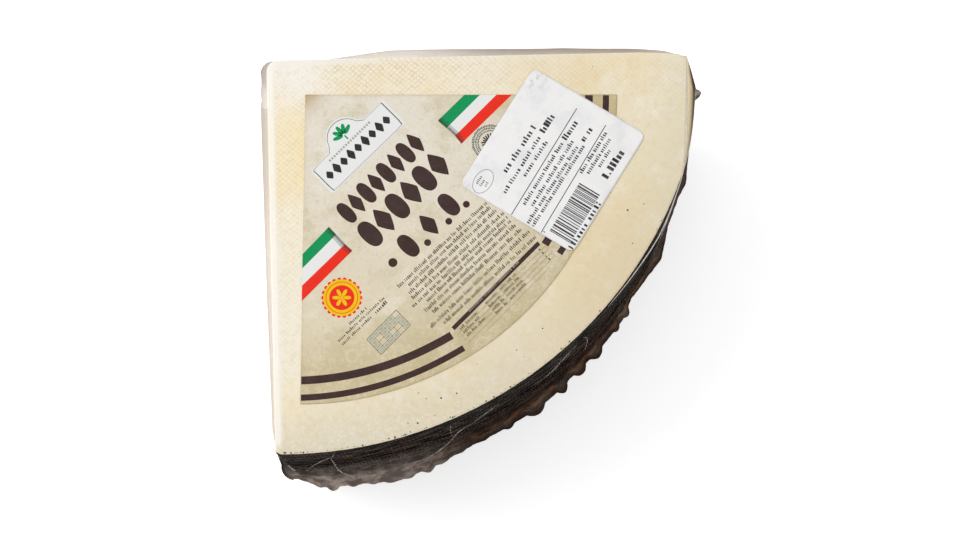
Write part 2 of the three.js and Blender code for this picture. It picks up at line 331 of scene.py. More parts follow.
def label_outline(grow):
    """The label's own outline, grown by a margin, with as many stations on each stretch as outline()."""
    points = []
    margin = max(grow, LABEL_CORNER_ROUND)
    radius = LABEL_RADIUS + grow
    turn = LABEL_TURN
    quarter = math.pi / 2
    if grow > 0:
        inset, foot, lean = 0.0, LABEL_RADIUS, 0.0
    else:
        inset = LABEL_CORNER_ROUND - grow
        foot = math.sqrt((radius - margin) ** 2 - inset ** 2)
        lean = math.asin(inset / (radius - margin))

    def spot(u, v):
        return LABEL_CORNER + u * heading(turn) + v * heading(turn + quarter)

    inner, right, down = spot(inset, -inset), spot(foot, -inset), spot(inset, -foot)

    def arc(stretch, centre, r, start, end):
        steps = STRETCH_STEPS[stretch]
        for i in range(steps):
            points.append(centre + heading(turn + lerp(start, end, i / steps)) * r)

    def straight(stretch, start, end):
        steps = STRETCH_STEPS[stretch]
        for i in range(steps):
            points.append(lerp(start, end, i / steps))

    west, north = heading(turn + math.pi) * margin, heading(turn + quarter) * margin
    arc("cut_corner", inner, margin, quarter, 2 * quarter)
    straight("left", inner + west, down + west)
    arc("left_corner", down, margin, 2 * quarter, 3 * quarter + lean)
    arc("rind", LABEL_CORNER, radius, lean - quarter, -lean)
    arc("back_corner", right, margin, -lean, quarter)
    straight("back", right + north, inner + north)
    return np.array(points)


def label_distance(x, y):
    """How far a place is outside the label, negative inside."""
    dx, dy = x - LABEL_CORNER[0], y - LABEL_CORNER[1]
    c, s = math.cos(LABEL_TURN), math.sin(LABEL_TURN)
    u, v = dx * c + dy * s, -dx * s + dy * c
    return max(-u, v, math.hypot(u, v) - LABEL_RADIUS)


def film_height(x, y):
    """The height of the film over the face."""
    return lerp(FILM_OVER_LABEL, FILM_TOP, smooth((label_distance(x, y) - 0.3) / FILM_STEP))


# ---------------------------------------------------------------- meshes

def make_mesh(name, points, faces, materials, face_materials=None, marks=None, smooth_shade=True):
    """A piece from points in millimetres, with its marks as values on the points."""
    mesh = bpy.data.meshes.new(name)
    mesh.from_pydata([tuple(p) for p in metres(points)], [], faces)
    for material in materials:
        mesh.materials.append(material)
    if face_materials is not None:
        mesh.polygons.foreach_set("material_index", face_materials)
    for key, values in (marks or {}).items():
        values = np.asarray(values, np.float32)
        kind = "FLOAT_VECTOR" if values.ndim == 2 else "FLOAT"
        attribute = mesh.attributes.new(key, kind, "POINT")
        attribute.data.foreach_set("vector" if values.ndim == 2 else "value", values.ravel())
    mesh.polygons.foreach_set("use_smooth", [smooth_shade] * len(mesh.polygons))
    mesh.update()
    piece = bpy.data.objects.new(name, mesh)
    bpy.context.scene.collection.objects.link(piece)
    return piece


def band_faces(count, rings):
    """Quads between rings of one count, each anticlockwise from above, in order upward or inward."""
    faces = []
    for k in range(rings - 1):
        for i in range(count):
            a = k * count + i
            b = k * count + (i + 1) % count
            faces.append((a, b, b + count, a + count))
    return faces


def fan_faces(count, first, middle, downward=False):
    """Triangles from a ring to a point in its middle."""
    faces = [(first + i, first + (i + 1) % count, middle) for i in range(count)]
    return [face[::-1] for face in faces] if downward else faces


def closed_faces(count, rings):
    """The bands of a pile of rings, closed by fans to the last two points: the top, then the bottom."""
    faces = band_faces(count, rings)
    faces += fan_faces(count, (rings - 1) * count, rings * count)
    return faces + fan_faces(count, 0, rings * count + 1, downward=True)


def ring_points(stations, z):
    return np.array([(s["place"][0], s["place"][1], z) for s in stations])


def running_length(stations):
    """How far each station is from the first, along the outline."""
    points = np.array([s["place"] for s in stations])
    gaps = np.linalg.norm(np.diff(points, axis=0), axis=1)
    return np.concatenate([[0], np.cumsum(gaps)])


# ---------------------------------------------------------------- finishes

class Wire:
    """A node's output, so that arithmetic on it adds Math nodes."""

    def __init__(self, finish, socket):
        self.finish = finish
        self.socket = socket

    def __add__(self, other):
        return self.finish.math("ADD", self, other)

    def __sub__(self, other):
        return self.finish.math("SUBTRACT", self, other)

    def __rsub__(self, other):
        return self.finish.math("SUBTRACT", other, self)

    def __mul__(self, other):
        return self.finish.math("MULTIPLY", self, other)

    __radd__ = __add__
    __rmul__ = __mul__


class Finish:
    """A material and the means to wire its nodes."""

    def __init__(self, name):
        self.material = bpy.data.materials.new(name)
        self.material.use_nodes = True
        self.tree = self.material.node_tree
        self.tree.nodes.clear()

    def node(self, kind, settings=None, output=0, **inputs):
        """Any node: its settings, then its inputs' values or wires, by name or by index as i0, i1."""
        node = self.tree.nodes.new(kind)
        for key, value in (settings or {}).items():
            setattr(node, key, value)
        for key, value in inputs.items():
            index = int(key[1:]) if key[0] == "i" and key[1:].isdigit() else key.replace("_", " ")
            socket = node.inputs[index]
            if isinstance(value, Wire):
                self.tree.links.new(value.socket, socket)
            else:
                socket.default_value = value
        return Wire(self, node.outputs[output]) if len(node.outputs) else None

    def math(self, operation, a, b=0.0, clamp=False):
        return self.node("ShaderNodeMath", {"operation": operation, "use_clamp": clamp}, i0=a, i1=b)

    def clamp(self, value):
        return self.math("ADD", value, 0.0, clamp=True)

    def between(self, value, low, high):
        """0 below low, 1 above high, smooth in between."""
        settings = {"interpolation_type": "SMOOTHSTEP"}
        return self.node("ShaderNodeMapRange", settings, Value=value, From_Min=low, From_Max=high)

    def wave(self, value):
        """The size of the sine of a value."""
        return self.math("ABSOLUTE", self.math("SINE", value))

    def mix(self, factor, a, b):
        return self.node("ShaderNodeMix", {"data_type": "RGBA"}, output=2, i0=factor, i6=a, i7=b)

    def place(self):
        """The place on the object, in millimetres."""
        spot = self.node("ShaderNodeTexCoord", output=3)
        return self.node("ShaderNodeVectorMath", {"operation": "SCALE"}, i0=spot, Scale=1000.0)

    def stretch(self, vector, factors):
        return self.node("ShaderNodeVectorMath", {"operation": "MULTIPLY"}, i0=vector, i1=factors)

    def noise(self, vector, size, detail=3.0, roughness=0.55, distortion=0.0):
        """Noise of a grain size in millimetres."""
        return self.node(
            "ShaderNodeTexNoise", Vector=vector, Scale=1.0 / size, Detail=detail,
            Roughness=roughness, Distortion=distortion,
        )

    def part(self, vector, axis):
        return self.node("ShaderNodeSeparateXYZ", output="XYZ".index(axis), Vector=vector)

    def from_face_spot(self, vector, spot):
        """How far a place is from a spot on the cut face, given from the wheel's axis."""
        spot = (*(AXIS + spot), PASTE_TOP)
        return self.node("ShaderNodeVectorMath", {"operation": "DISTANCE"}, output=1, i0=vector, i1=spot)

    def attribute(self, name, output="Fac"):
        return self.node("ShaderNodeAttribute", {"attribute_name": name}, output=output)

    def bump(self, height, depth, strength):
        """Relief of a depth in millimetres."""
        return self.node("ShaderNodeBump", Height=height, Distance=depth / 1000, Strength=strength)

    def surface(self, **inputs):
        shader = self.node("ShaderNodeBsdfPrincipled", **inputs)
        self.node("ShaderNodeOutputMaterial", Surface=shader)
        return self.material


def rgb(r, g, b):
    """A colour read as display values from 0 to 255, as the renderer's linear values."""
    def linear(c):
        c /= 255
        return c / 12.92 if c <= 0.04045 else ((c + 0.055) / 1.055) ** 2.4
    return (linear(r), linear(g), linear(b), 1.0)


FACE_TINTS = [  # (where, how far it reaches, how strong, colour) of large tints of the cut face
    ((136, -98), 46, 0.5, (238, 213, 166)),
    ((2, -46), 36, 0.6, (255, 232, 166)),
    ((52, -13), 42, 0.35, (250, 226, 180)),
    ((110, -12), 36, 0.4, (240, 214, 166)),
    ((2, -118), 50, 0.7, (255, 248, 230)),
    ((92, -132), 34, 0.35, (240, 228, 206)),
    ((3, -17), 22, 0.8, (255, 252, 246)),
    ((0, -160), 22, 0.6, (255, 240, 206)),
    ((80, -14), 18, 0.35, (250, 244, 230)),
]


WEAVE_PERIODS = (1.75, 1.6)  # of the print of a cloth in the paste
CLOTH_PERIODS = (1.7, 1.4)  # of the print of a cloth in the rind


def paste_finish():
    """Clouds of warm and pale paste, grain and crumbs, a cloth's weave toward two edges, a painted
    highlight along the cut edges, and the flat, darkened by stain and painted shade.
    """
    f = Finish("ivory_paste")
    at = f.place()
    x, y = f.part(at, "X"), f.part(at, "Y")
    warm = f.between(x * 0.8 - y * 0.75, -110.0, 140.0)
    colour = f.mix(warm, rgb(255, 248, 226), rgb(236, 219, 176))
    blotch = f.noise(at, 30.0, detail=5.0, roughness=0.65)
    colour = f.mix(f.between(blotch, 0.45, 0.68) * 0.6, colour, rgb(246, 221, 172))
    pale = f.noise(at, 12.0, detail=6.0, roughness=0.75)
    colour = f.mix(f.between(pale, 0.5, 0.72) * 0.6, colour, rgb(255, 251, 240))
    for spot, reach, amount, tint in FACE_TINTS:
        near = 1.0 - f.between(f.from_face_spot(at, spot), reach * 0.15, reach)
        colour = f.mix(near * (blotch + 0.5) * amount, colour, rgb(*tint))
    grain = f.noise(at, 2.2, detail=6.0, roughness=0.8)
    rimward = f.between(f.from_face_spot(at, (0, 0)), 150.0, WHEEL_RADIUS)
    west = f.between(0.0 - x, -60.0, 60.0)
    colour = f.mix(rimward * (west * 0.25 + 0.25), colour, rgb(213, 206, 190))
    crumb = f.noise(at, 1.1, detail=4.0, roughness=0.75)
    coarse = f.clamp(rimward * west * 1.3 + 0.3)
    colour = f.mix(f.between(grain, 0.46, 0.7) * (coarse * 0.5 + 0.2), colour, rgb(214, 192, 148))
    colour = f.mix(f.between(crumb, 0.48, 0.64) * coarse * 0.5, colour, rgb(255, 252, 240))
    z = f.part(at, "Z")  # the weave of the pressed cloth, in two directions
    u = (x * 0.64 + y * 0.77 + z * 0.7) * (math.pi / WEAVE_PERIODS[0]) + f.noise(at, 8.0) * 4.0
    v = (x * 0.7 - y * 0.71 + z * 0.72) * (math.pi / WEAVE_PERIODS[1]) + f.noise(at, 11.0) * 3.0
    weave = f.wave(u) * f.wave(v)
    stray = f.noise(at, 17.0, detail=4.0) * 30.0
    left = f.between(stray - x, 72.0, 106.0) * f.between(y, -84.0, 10.0)
    top = f.between(y + stray, 62.0, 92.0) * (f.between(0.0 - x, -70.0, 60.0) * 0.9 + 0.1)
    corner = f.between(f.from_face_spot(at, (2, -15)), 4.0, 20.0)
    pressed = f.clamp(left * 0.75 + top + 0.06) * (f.between(pale, 0.38, 0.56) * 0.7 + 0.4)
    pressed = pressed * (corner * 0.75 + 0.25)
    groove = f.mix(left, rgb(230, 196, 134), rgb(251, 208, 138))
    colour = f.mix(weave * pressed * 0.95, colour, rgb(255, 252, 244))
    colour = f.mix((1.0 - weave) * pressed * f.between(grain, 0.3, 0.6) * 0.6, colour, groove)
    # painted highlight: the paste is whitened along the cut edges, where they round over and catch the
    # light
    edge = f.attribute("edge_highlight")
    colour = f.mix(edge * 0.75, colour, rgb(254, 250, 242))
    trimmed = f.attribute("trimmed")
    # the trimmed flat darkens toward dark brown: at its edge and toward the back, and low down as painted
    # shade
    flat = f.mix(f.attribute("stain_and_shade"), rgb(246, 227, 190), rgb(66, 51, 38))
    flat = f.mix(f.between(grain, 0.4, 0.7) * 0.3, flat, rgb(150, 128, 88))
    colour = f.mix(trimmed, colour, flat)
    height = weave * pressed * 0.9 + grain * 0.6 + pale * 1.2
    return f.surface(
        Base_Color=colour, Roughness=0.5, Specular_IOR_Level=0.0, Coat_Weight=(1.0 - trimmed) * 0.35,
        Coat_Roughness=0.22, Normal=f.bump(height, 0.2, 0.7),
    )


def rind_finish():
    """Near-black, with short streaks of painted sheen broken up by a cloth's weave, and a little dust."""
    f = Finish("black_rind")
    lie = f.attribute("lie", "Vector")
    at = f.place()
    streak = f.noise(f.stretch(lie, (0.3, 1.0, 1.0)), 3.4, detail=6.0, roughness=0.7, distortion=0.5)
    across = f.wave(f.part(lie, "X") * (math.pi / CLOTH_PERIODS[0]))
    upward = f.wave(f.part(lie, "Y") * (math.pi / CLOTH_PERIODS[1]))
    cloth = across * upward
    wave = f.noise(f.stretch(lie, (0.35, 1.0, 1.0)), 12.0, detail=3.0, distortion=1.2)
    # painted sheen: the lighter streaks stand in for highlights along the film's wrinkles over the rind
    light = f.between(streak, 0.48, 0.57) * (f.between(wave, 0.38, 0.6) * 0.6 + 0.4) * (cloth * 1.3 + 0.4)
    colour = f.mix(f.clamp(light), rgb(11, 9, 8), rgb(84, 70, 61))
    grey_tone = f.between(f.noise(at, 0.9, detail=4.0, roughness=0.8), 0.62, 0.78)
    colour = f.mix(grey_tone * 0.25, colour, rgb(96, 82, 74))
    height = streak * 1.0 + wave * 0.8 + grey_tone * 0.2 + cloth * 0.5
    return f.surface(
        Base_Color=colour, Roughness=0.72 - f.clamp(light) * 0.2, Specular_IOR_Level=0.0,
        Coat_Weight=0.04, Coat_Roughness=0.25,
        Normal=f.bump(height, 0.9, 0.8),
    )


def film_finish():
    """Film that is clear on the cheese and hides more toward its hem: clear, dark or a paler grey there,
    darker at its root and tip, with painted highlights along its folds and in small glints, and painted
    shade at its edge.
    """
    f = Finish("clear_film")
    at = f.place()
    lie = f.attribute("lie", "Vector")
    veil = f.attribute("veil")
    darkness = f.attribute("darkness")
    greyness = f.attribute("greyness")
    crumple = f.attribute("crumple")
    tip = f.part(lie, "Z")
    edge_shade_mark = f.attribute("edge_shade")
    edge_shade = edge_shade_mark * f.between(tip, 0.66, 1.0)
    pleat = f.noise(f.stretch(lie, (0.4, 0.8, 1.0)), 2.4, detail=4.0, roughness=0.6, distortion=0.2)
    cloud = f.noise(at, 6.0, detail=4.0)
    fold_sheen = f.between(pleat * 0.7 + cloud * 0.3, 0.4, 0.64) * crumple
    # painted highlights: small glints on the hem's flange
    glint = f.between(f.noise(at, 0.8, detail=2.0), 0.7, 0.75) * crumple * greyness
    glint = glint * f.between(tip, 0.02, 0.1)
    clear = f.mix(tip, rgb(238, 231, 223), rgb(218, 208, 198))
    # painted shade: the clear hem greys toward its outer edge
    clear = f.mix(edge_shade, clear, rgb(170, 158, 149))
    # painted highlights: the hem is lighter along its folds
    dark = f.mix(fold_sheen, rgb(60, 42, 31), rgb(122, 88, 65))
    dark = f.mix(f.between(tip + fold_sheen * 0.3, 0.72, 0.98) * 0.75, dark, rgb(27, 17, 12))
    grey_tone = f.mix(fold_sheen, rgb(118, 104, 96), rgb(190, 174, 162))
    root = 1.0 - f.between(tip, 0.08, 0.42)
    # darker at the hem's root, and where the painted edge shade is strong
    dark = f.mix(f.clamp(root * 0.75 + edge_shade_mark), dark, rgb(18, 14, 12))
    grey_tone = f.mix(f.clamp(root * 0.6 + edge_shade_mark), grey_tone, rgb(36, 30, 27))
    colour = f.mix(darkness, clear, f.mix(greyness, dark, grey_tone))
    colour = f.mix(glint, colour, rgb(214, 206, 200))
    alpha = f.clamp(veil * (0.86 + cloud * 0.28) + edge_shade * 0.3 + 0.004)
    rough = 0.7 - f.between(tip, 0.0, 0.1) * 0.34 + cloud * 0.1
    relief = (pleat + cloud * 0.5) * crumple * f.between(tip, 0.0, 0.3)
    return f.surface(
        Base_Color=colour, Roughness=rough, IOR=1.35, Specular_IOR_Level=0.09, Alpha=alpha,
        Normal=f.bump(relief, 0.9, 0.6),
    )


def fold_highlight_finish(name, least, more):
    """Raised film, pale as a painted highlight, that hides from a least share up to more, in spots."""
    f = Finish(name)
    at = f.place()
    spots = f.noise(at, 3.0, detail=3.0)
    colour = f.mix(spots, rgb(212, 206, 198), rgb(244, 241, 235))
    return f.surface(Base_Color=colour, Roughness=0.2, Alpha=f.between(spots, 0.3, 0.7) * more + least)


def label_finish():
    """Parchment-coloured paper, clouded and ochre in places, worn at its rim and darker at its edge."""
    f = Finish("parchment_label")
    at = f.place()
    y = f.part(at, "Y")
    cloud = f.noise(at, 20.0, detail=7.0, roughness=0.75)
    patch = f.noise(at, 8.0, detail=6.0, roughness=0.7)
    fine = f.noise(at, 1.6, detail=6.0, roughness=0.85)
    colour = f.mix(f.between(0.0 - y, -60.0, 70.0), rgb(238, 230, 215), rgb(230, 216, 185))
    colour = f.mix(f.between(cloud, 0.48, 0.66) * 0.6, colour, rgb(206, 194, 154))
    colour = f.mix(f.between(patch, 0.5, 0.7) * 0.55, colour, rgb(246, 238, 224))
    colour = f.mix(f.between(fine, 0.5, 0.7) * 0.5, colour, rgb(190, 174, 134))
    u = f.part(at, "X") - float(AXIS[0] + LABEL_CORNER[0])
    v = y - float(AXIS[1] + LABEL_CORNER[1])
    ochre = f.between(v, -24.0, -2.0) * f.between(u, 36.0, 92.0) * 0.6 + f.between(u, 108.0, 126.0) * 0.7
    colour = f.mix(f.clamp(ochre) * (patch + 0.35), colour, rgb(206, 184, 130))
    edge = f.attribute("edge")
    rim = f.attribute("rim")
    colour = f.mix(rim * f.between(patch * 0.5 + fine * 0.5, 0.36, 0.6), colour, rgb(204, 188, 146))
    colour = f.mix(edge, colour, rgb(188, 158, 112))
    drops_apart = 15.0
    drops = {"Vector": at, "Scale": 1 / drops_apart, "Randomness": 0.7}
    reach = f.node("ShaderNodeTexVoronoi", {"feature": "F1"}, **drops) * drops_apart
    ring = f.between(reach, 2.2, 2.6) * (1.0 - f.between(reach, 3.1, 3.5))
    colour = f.mix(ring * f.between(patch, 0.4, 0.6) * 0.3, colour, rgb(248, 242, 230))
    return f.surface(
        Base_Color=colour, Roughness=0.6, Specular_IOR_Level=0.2, Coat_Weight=0.15, Coat_Roughness=0.2,
        Normal=f.bump(fine + cloud, 0.12, 0.5),
    )


def sticker_finish():
    """White paper, faintly clouded, with painted shade greying it where it is crinkled."""
    f = Finish("thermal_paper")
    at = f.place()
    cloud = f.noise(at, 8.0, detail=5.0, roughness=0.7)
    fine = f.noise(at, 1.2, detail=5.0, roughness=0.8)
    crease = f.attribute("crease")
    colour = f.mix(f.between(cloud, 0.4, 0.75), rgb(250, 249, 248), rgb(237, 236, 237))
    # painted shade in the crinkles
    colour = f.mix(crease * f.between(f.noise(at, 2.4), 0.45, 0.6), colour, rgb(220, 219, 220))
    return f.surface(Base_Color=colour, Roughness=0.5, Normal=f.bump(fine * 0.3 + cloud, 0.35, 0.5))


def ink_finish(name, colour, under_film=True, wear=0.12, fade=None):
    """Print of a colour, worn in spots to a paler tone of it or to a given one."""
    f = Finish(name)
    at = f.place()
    patch = f.noise(at, 4.0, detail=5.0, roughness=0.7)
    speckle = f.noise(at, 0.5, detail=3.0, roughness=0.7)
    worn = tuple(min(1.0, c * 1.25 + 0.03) for c in colour[:3]) + (1.0,)
    tint = f.mix(f.between(patch * 0.6 + speckle * 0.4, 0.4, 0.7) * wear * 4, colour, fade or worn)
    return f.surface(
        Base_Color=tint, Roughness=0.6, Specular_IOR_Level=0.1, Coat_Weight=0.06 if under_film else 0.0,
        Coat_Roughness=0.2, Normal=f.bump(speckle, 0.03, 0.4),
    )


def shade_finish(name, strength):
    """A see-through shadow print."""
    f = Finish(name)
    return f.surface(
        Base_Color=(0.03, 0.04, 0.03, 1), Roughness=0.5, Alpha=f.noise(f.place(), 2.0) * 0.1 + strength,
    )


def floor_finish():
    """An even, nearly white floor that glows a little."""
    f = Finish("pale_floor")
    at = f.place()
    tone = f.mix(f.noise(at, 400.0), rgb(250, 250, 250), rgb(246, 246, 246))
    return f.surface(
        Base_Color=tone, Roughness=0.9, Specular_IOR_Level=0.1, Emission_Color=(1, 1, 1, 1),
        Emission_Strength=0.5,
    )


# ---------------------------------------------------------------- the cheese

def cut_highlight(station):
    """How much a painted highlight whitens the paste at the edge of a cut: most on the left, fading along
    the back.
    """
    if station["stretch"] == "back":
        return 0.15 + 0.85 * rise_over((0.62, 0.92), station["share"])
    return float(station["stretch"] in ("cut_corner", "left"))


def trim_stain_and_shade(station, below):
    """How dark the trimmed flat is: darkest at its edge, darker toward the back, and darker low down as
    painted shade.
    """
    at_edge = math.exp(-max(0.0, station["trimmed"]))
    # painted shade: the lower on the flat, the darker
    low = 0.85 * min(1.0, below / 38) ** 2
    backward = 0.9 * min(1.0, below / 16) * rise_over((-16, -8), station["place"][1])
    return min(at_edge + low + backward, 1.0)


def make_paste():
    """The cheese itself: the wall ring by ring, then the cut face, with marks for the trimmed flat, for the
    painted highlight along the cuts, and for the flat's stain and painted shade.
    """
    rings, trimmed, edge_highlight, stain_and_shade = [], [], [], []
    at_cut = np.array([cut_highlight(s) for s in outline(WHEEL_RADIUS, 0.0)])
    for z in FOOT_LEVELS + PASTE_WALL + PASTE_RIM:
        stations = level(z, PASTE_SKIN)
        below = HEIGHT - z
        rings.append(ring_points(stations, lerp(PASTE_BOTTOM, PASTE_TOP, z / HEIGHT)))
        flat = [np.clip(s["trimmed"] + 0.4, 0, 1) if z > HEM_HEIGHT else 0.0 for s in stations]
        trimmed.append(np.array(flat, float) * min(1.0, below / 0.8))
        stain_and_shade.append(np.array([trim_stain_and_shade(s, below) for s in stations]))
        edge_highlight.append(max(0.0, 1 - below / 6) * at_cut)
    rim = rings[-1]
    centre = np.array([*FACE_MIDDLE, PASTE_TOP])
    for share in PASTE_FACE_SHARES:
        rings.append(centre + (rim - centre) * share)
        trimmed.append(np.zeros(len(rim)))
        edge_highlight.append(at_cut * max(0.0, 1 - (1 - share) / 0.03) ** 1.5)
        stain_and_shade.append(np.zeros(len(rim)))
    points = np.vstack(rings + [centre[None], [[*FACE_MIDDLE, PASTE_BOTTOM]]])
    marks = {}
    for name, values in (("trimmed", trimmed), ("edge_highlight", edge_highlight), ("stain_and_shade", stain_and_shade)):
        marks[name] = np.concatenate(values + [[0.0, 0.0]])
    return make_mesh("paste", points, closed_faces(len(rim), len(rings)), [paste_finish()], marks=marks)


def rind_height(z):
    """The rind's height for a level of the cheese: a touch over the base and, at the rim, the face."""
    return z + RIND_BOTTOM * max(0.0, 1 - z / 20) + 0.18 * rise_over((HEIGHT - 0.3, HEIGHT), z)


def rind_tops(base, along):
    """How high the rind reaches at each station: ragged at the rim, and cut off by the trimmed flat."""
    tops = []
    for s, run in zip(base, along):
        covered = {"rind": True, "left_corner": s["share"] > 0.05, "back_corner": s["share"] < 0.5}
        over = s["place"][0] - trim_line(s["place"][1], HEIGHT)
        top = HEIGHT - 0.55 + 0.3 * ripple(run, scale=2.0, seed=4) + 0.2 * ripple(run, scale=0.7, seed=8)
        if s["stretch"] == "left_corner":
            top -= 4.0 * (1 - min(1.0, s["share"] / 0.5))
        if over > 0:
            ragged = TRIM_EDGE_NOISE * ripple(s["place"][1], scale=4, seed=3)
            top = min(top, HEIGHT - (over + ragged) / TRIM_RUN)
        tops.append(top if covered.get(s["stretch"]) else RIND_BARE_TOP)
    return tops


def make_rind():
    """A skin under the base, up the round side to a ragged rim, and a little way in under the film."""
    base = outline(WHEEL_RADIUS, 0.0)
    along = running_length(base)
    tops = rind_tops(base, along)
    count = len(base)
    rows, lies = [], []
    walls = np.array([[s["place"] for s in level(z, RIND_SKIN, RIND_TRIM_SKIN)] for z in RIND_GRID])

    def wall(i, z):
        return np.array([np.interp(z, RIND_GRID, walls[:, i, k]) for k in (0, 1)])

    def add_spot(i, z, rough_share):
        rough = 0.09 * ripple(along[i], z, scale=4, seed=3) * rough_share
        place = wall(i, z) + base[i]["normal"] * np.clip(rough, -0.08, 0.05)
        rows.append((place[0], place[1], rind_height(z)))
        lies.append((along[i], z, 0.0))

    for climb in RIND_CLIMBS:
        for i in range(count):
            if tops[i] > RIND_BARE_TOP:
                add_spot(i, lerp(FOOT_ROUND, tops[i], climb), float(climb < 0.98))
            else:
                add_spot(i, tops[i] * lerp(0.5, 1.0, climb), 0.0)
    for z in FOOT_LEVELS[::-1]:
        for i in range(count):
            if tops[i] > RIND_BARE_TOP:
                add_spot(i, z, 1.0)
            else:
                add_spot(i, tops[i] * 0.5 * z / FOOT_ROUND, 0.0)
    inner, inner_lie = [], []
    for depth, drop in ((1.6, 1.5), (1.0, 0.0)):  # the rind's inner edge, hidden low in the paste first
        for i in range(count):
            reach = 0.5 + 0.35 * ripple(along[i], scale=1.3, seed=14)
            place = wall(i, tops[i]) - base[i]["normal"] * max(reach, 0.2) * depth
            lower = drop if tops[i] > RIND_BARE_TOP else 0.0
            inner.append((place[0], place[1], rind_height(tops[i]) - lower))
            inner_lie.append((along[i], tops[i] + 2 * (1.7 - depth), 0.0))

    def upward(spots):
        return list(np.array(spots).reshape(-1, count, 3)[::-1])

    centre = np.array([*FACE_MIDDLE, RIND_BOTTOM])
    outer = upward(rows)
    under = [centre + (outer[0] - centre) * share for share in RIND_UNDER_SHARES]
    rings = under + outer + upward(inner)
    points = np.vstack(rings + [centre[None]])
    lie = np.vstack(under + upward(lies) + upward(inner_lie) + [centre[None]])
    faces = band_faces(count, len(rings))
    faces += fan_faces(count, 0, len(points) - 1, downward=True)
    return make_mesh("rind", points, faces, [rind_finish()], marks={"lie": lie})


SPECKS = [  # (place, size) of dark specks on the face
    (142.6, -74.1, 0.5), (65.1, -152.7, 0.5), (71.5, -150.7, 0.42), (55.5, -163.0, 0.48),
    (149.4, -71.5, 0.32), (107.0, -123.8, 0.36), (144.5, -88.2, 0.3), (59.1, -152.8, 0.3),
    (96.2, -132.8, 0.3), (55.7, -150.5, 0.3), (51.5, -163.0, 0.28), (79.9, -138.6, 0.22),
    (128.5, -12.4, 0.24), (135.8, -66.4, 0.2), (99.2, -135.6, 0.2), (62.6, -159.9, 0.2),
    (79.6, -18.2, 0.2), (103.7, -16.9, 0.25),
]
SPECK_GROWTH = 1.2
RIM_SPECKS = 70
SPECK_CORNERS = 9


def speck_finish():
    f = Finish("paste_speck")
    colour = f.mix(f.noise(f.place(), 0.4, detail=4.0), rgb(40, 30, 24), rgb(104, 82, 58))
    return f.surface(Base_Color=colour, Roughness=0.6, Specular_IOR_Level=0.1)


def make_specks():
    """Dark crumbs: the large ones at their places, and many small ones along the rim."""
    rng = random.Random(11)
    specks = [(x, y, size * SPECK_GROWTH) for x, y, size in SPECKS]
    for _ in range(RIM_SPECKS):
        angle = math.radians(rng.triangular(-90.5, -25, -90))
        spot = heading(angle) * (side_radius(HEIGHT) - rng.uniform(-0.1, 0.75) ** 2)
        specks.append((spot[0], spot[1], rng.choice((0.16, 0.2, 0.26, 0.4))))
    points, faces = [], []
    for x, y, size in specks:
        first = len(points)
        for angle in turns(SPECK_CORNERS):
            reach = size * rng.uniform(0.75, 1.15)
            spot = np.array([x, y]) + heading(angle) * reach
            points.append((spot[0], spot[1], PASTE_TOP - 0.02))
        points.append((x, y, PASTE_TOP + 0.05))
        faces += fan_faces(SPECK_CORNERS, first, first + SPECK_CORNERS)
    return make_mesh("paste_specks", points, faces, [speck_finish()])


# ---------------------------------------------------------------- the pouch

def bell(x, middle, half):
    """1 in the middle, falling off to both sides."""
    return math.exp(-((x - middle) / half) ** 2)


def hem_look(station):
    """How much the hem hides, how dark it is, how much of it is a paler grey, how crumpled it is, and how
    much painted shade darkens its edge.
    """
    stretch, share = station["stretch"], station["share"]
    if stretch == "rind":
        degrees = -math.degrees(station["angle"])
        greyness = rise_over((63, 78), degrees) * (1 - 0.55 * rise_over((87, 90), degrees))
        greyness += 0.35 * max(0.0, ripple(degrees, scale=5, seed=12))
        return 0.95, 1.0, min(greyness, 1.0), 1.0, 0.0
    if stretch == "left_corner":
        return 0.93, 1.0, 0.25 + 0.2 * share, lerp(0.3, 1.0, share), 0.9 * (1 - share)
    if stretch == "back_corner":
        knob = bell(share, 0.38, 0.1)
        darkened = (1 - rise_over((0.6, 0.95), share)) * (1 - 0.45 * knob)
        return lerp(0.95, 0.8, share), darkened, 0.3 + 0.7 * knob, lerp(0.8, 0.1, share), 0.2
    if stretch == "cut_corner":
        ear = bell(share, 0.42, 0.12)
        return 0.45 + 0.35 * ear, 0.08 + 0.1 * ear, 1.0, 0.15, 0.25
    if stretch == "left":
        darkened = rise_over((0.955, 0.985), share)
        hiding = lerp(0.8, 0.5, smooth(share * 2.2)) + 0.4 * darkened
        return hiding, darkened, 0.2, lerp(0.05, 0.3, darkened), lerp(0.15, 0.9, darkened)
    # painted shade on the back hem's outer edge, strongest partway along it
    darkening = rise_over((0.04, 0.14), share) * (1 - rise_over((0.42, 0.72), share))
    hiding = 0.16 * bell(share, 0.0, 0.1) + lerp(0.66, 0.45, smooth(share * 1.2 - 0.1))
    return hiding, 0.0, 0.0, 0.05, 0.2 + 0.6 * darkening


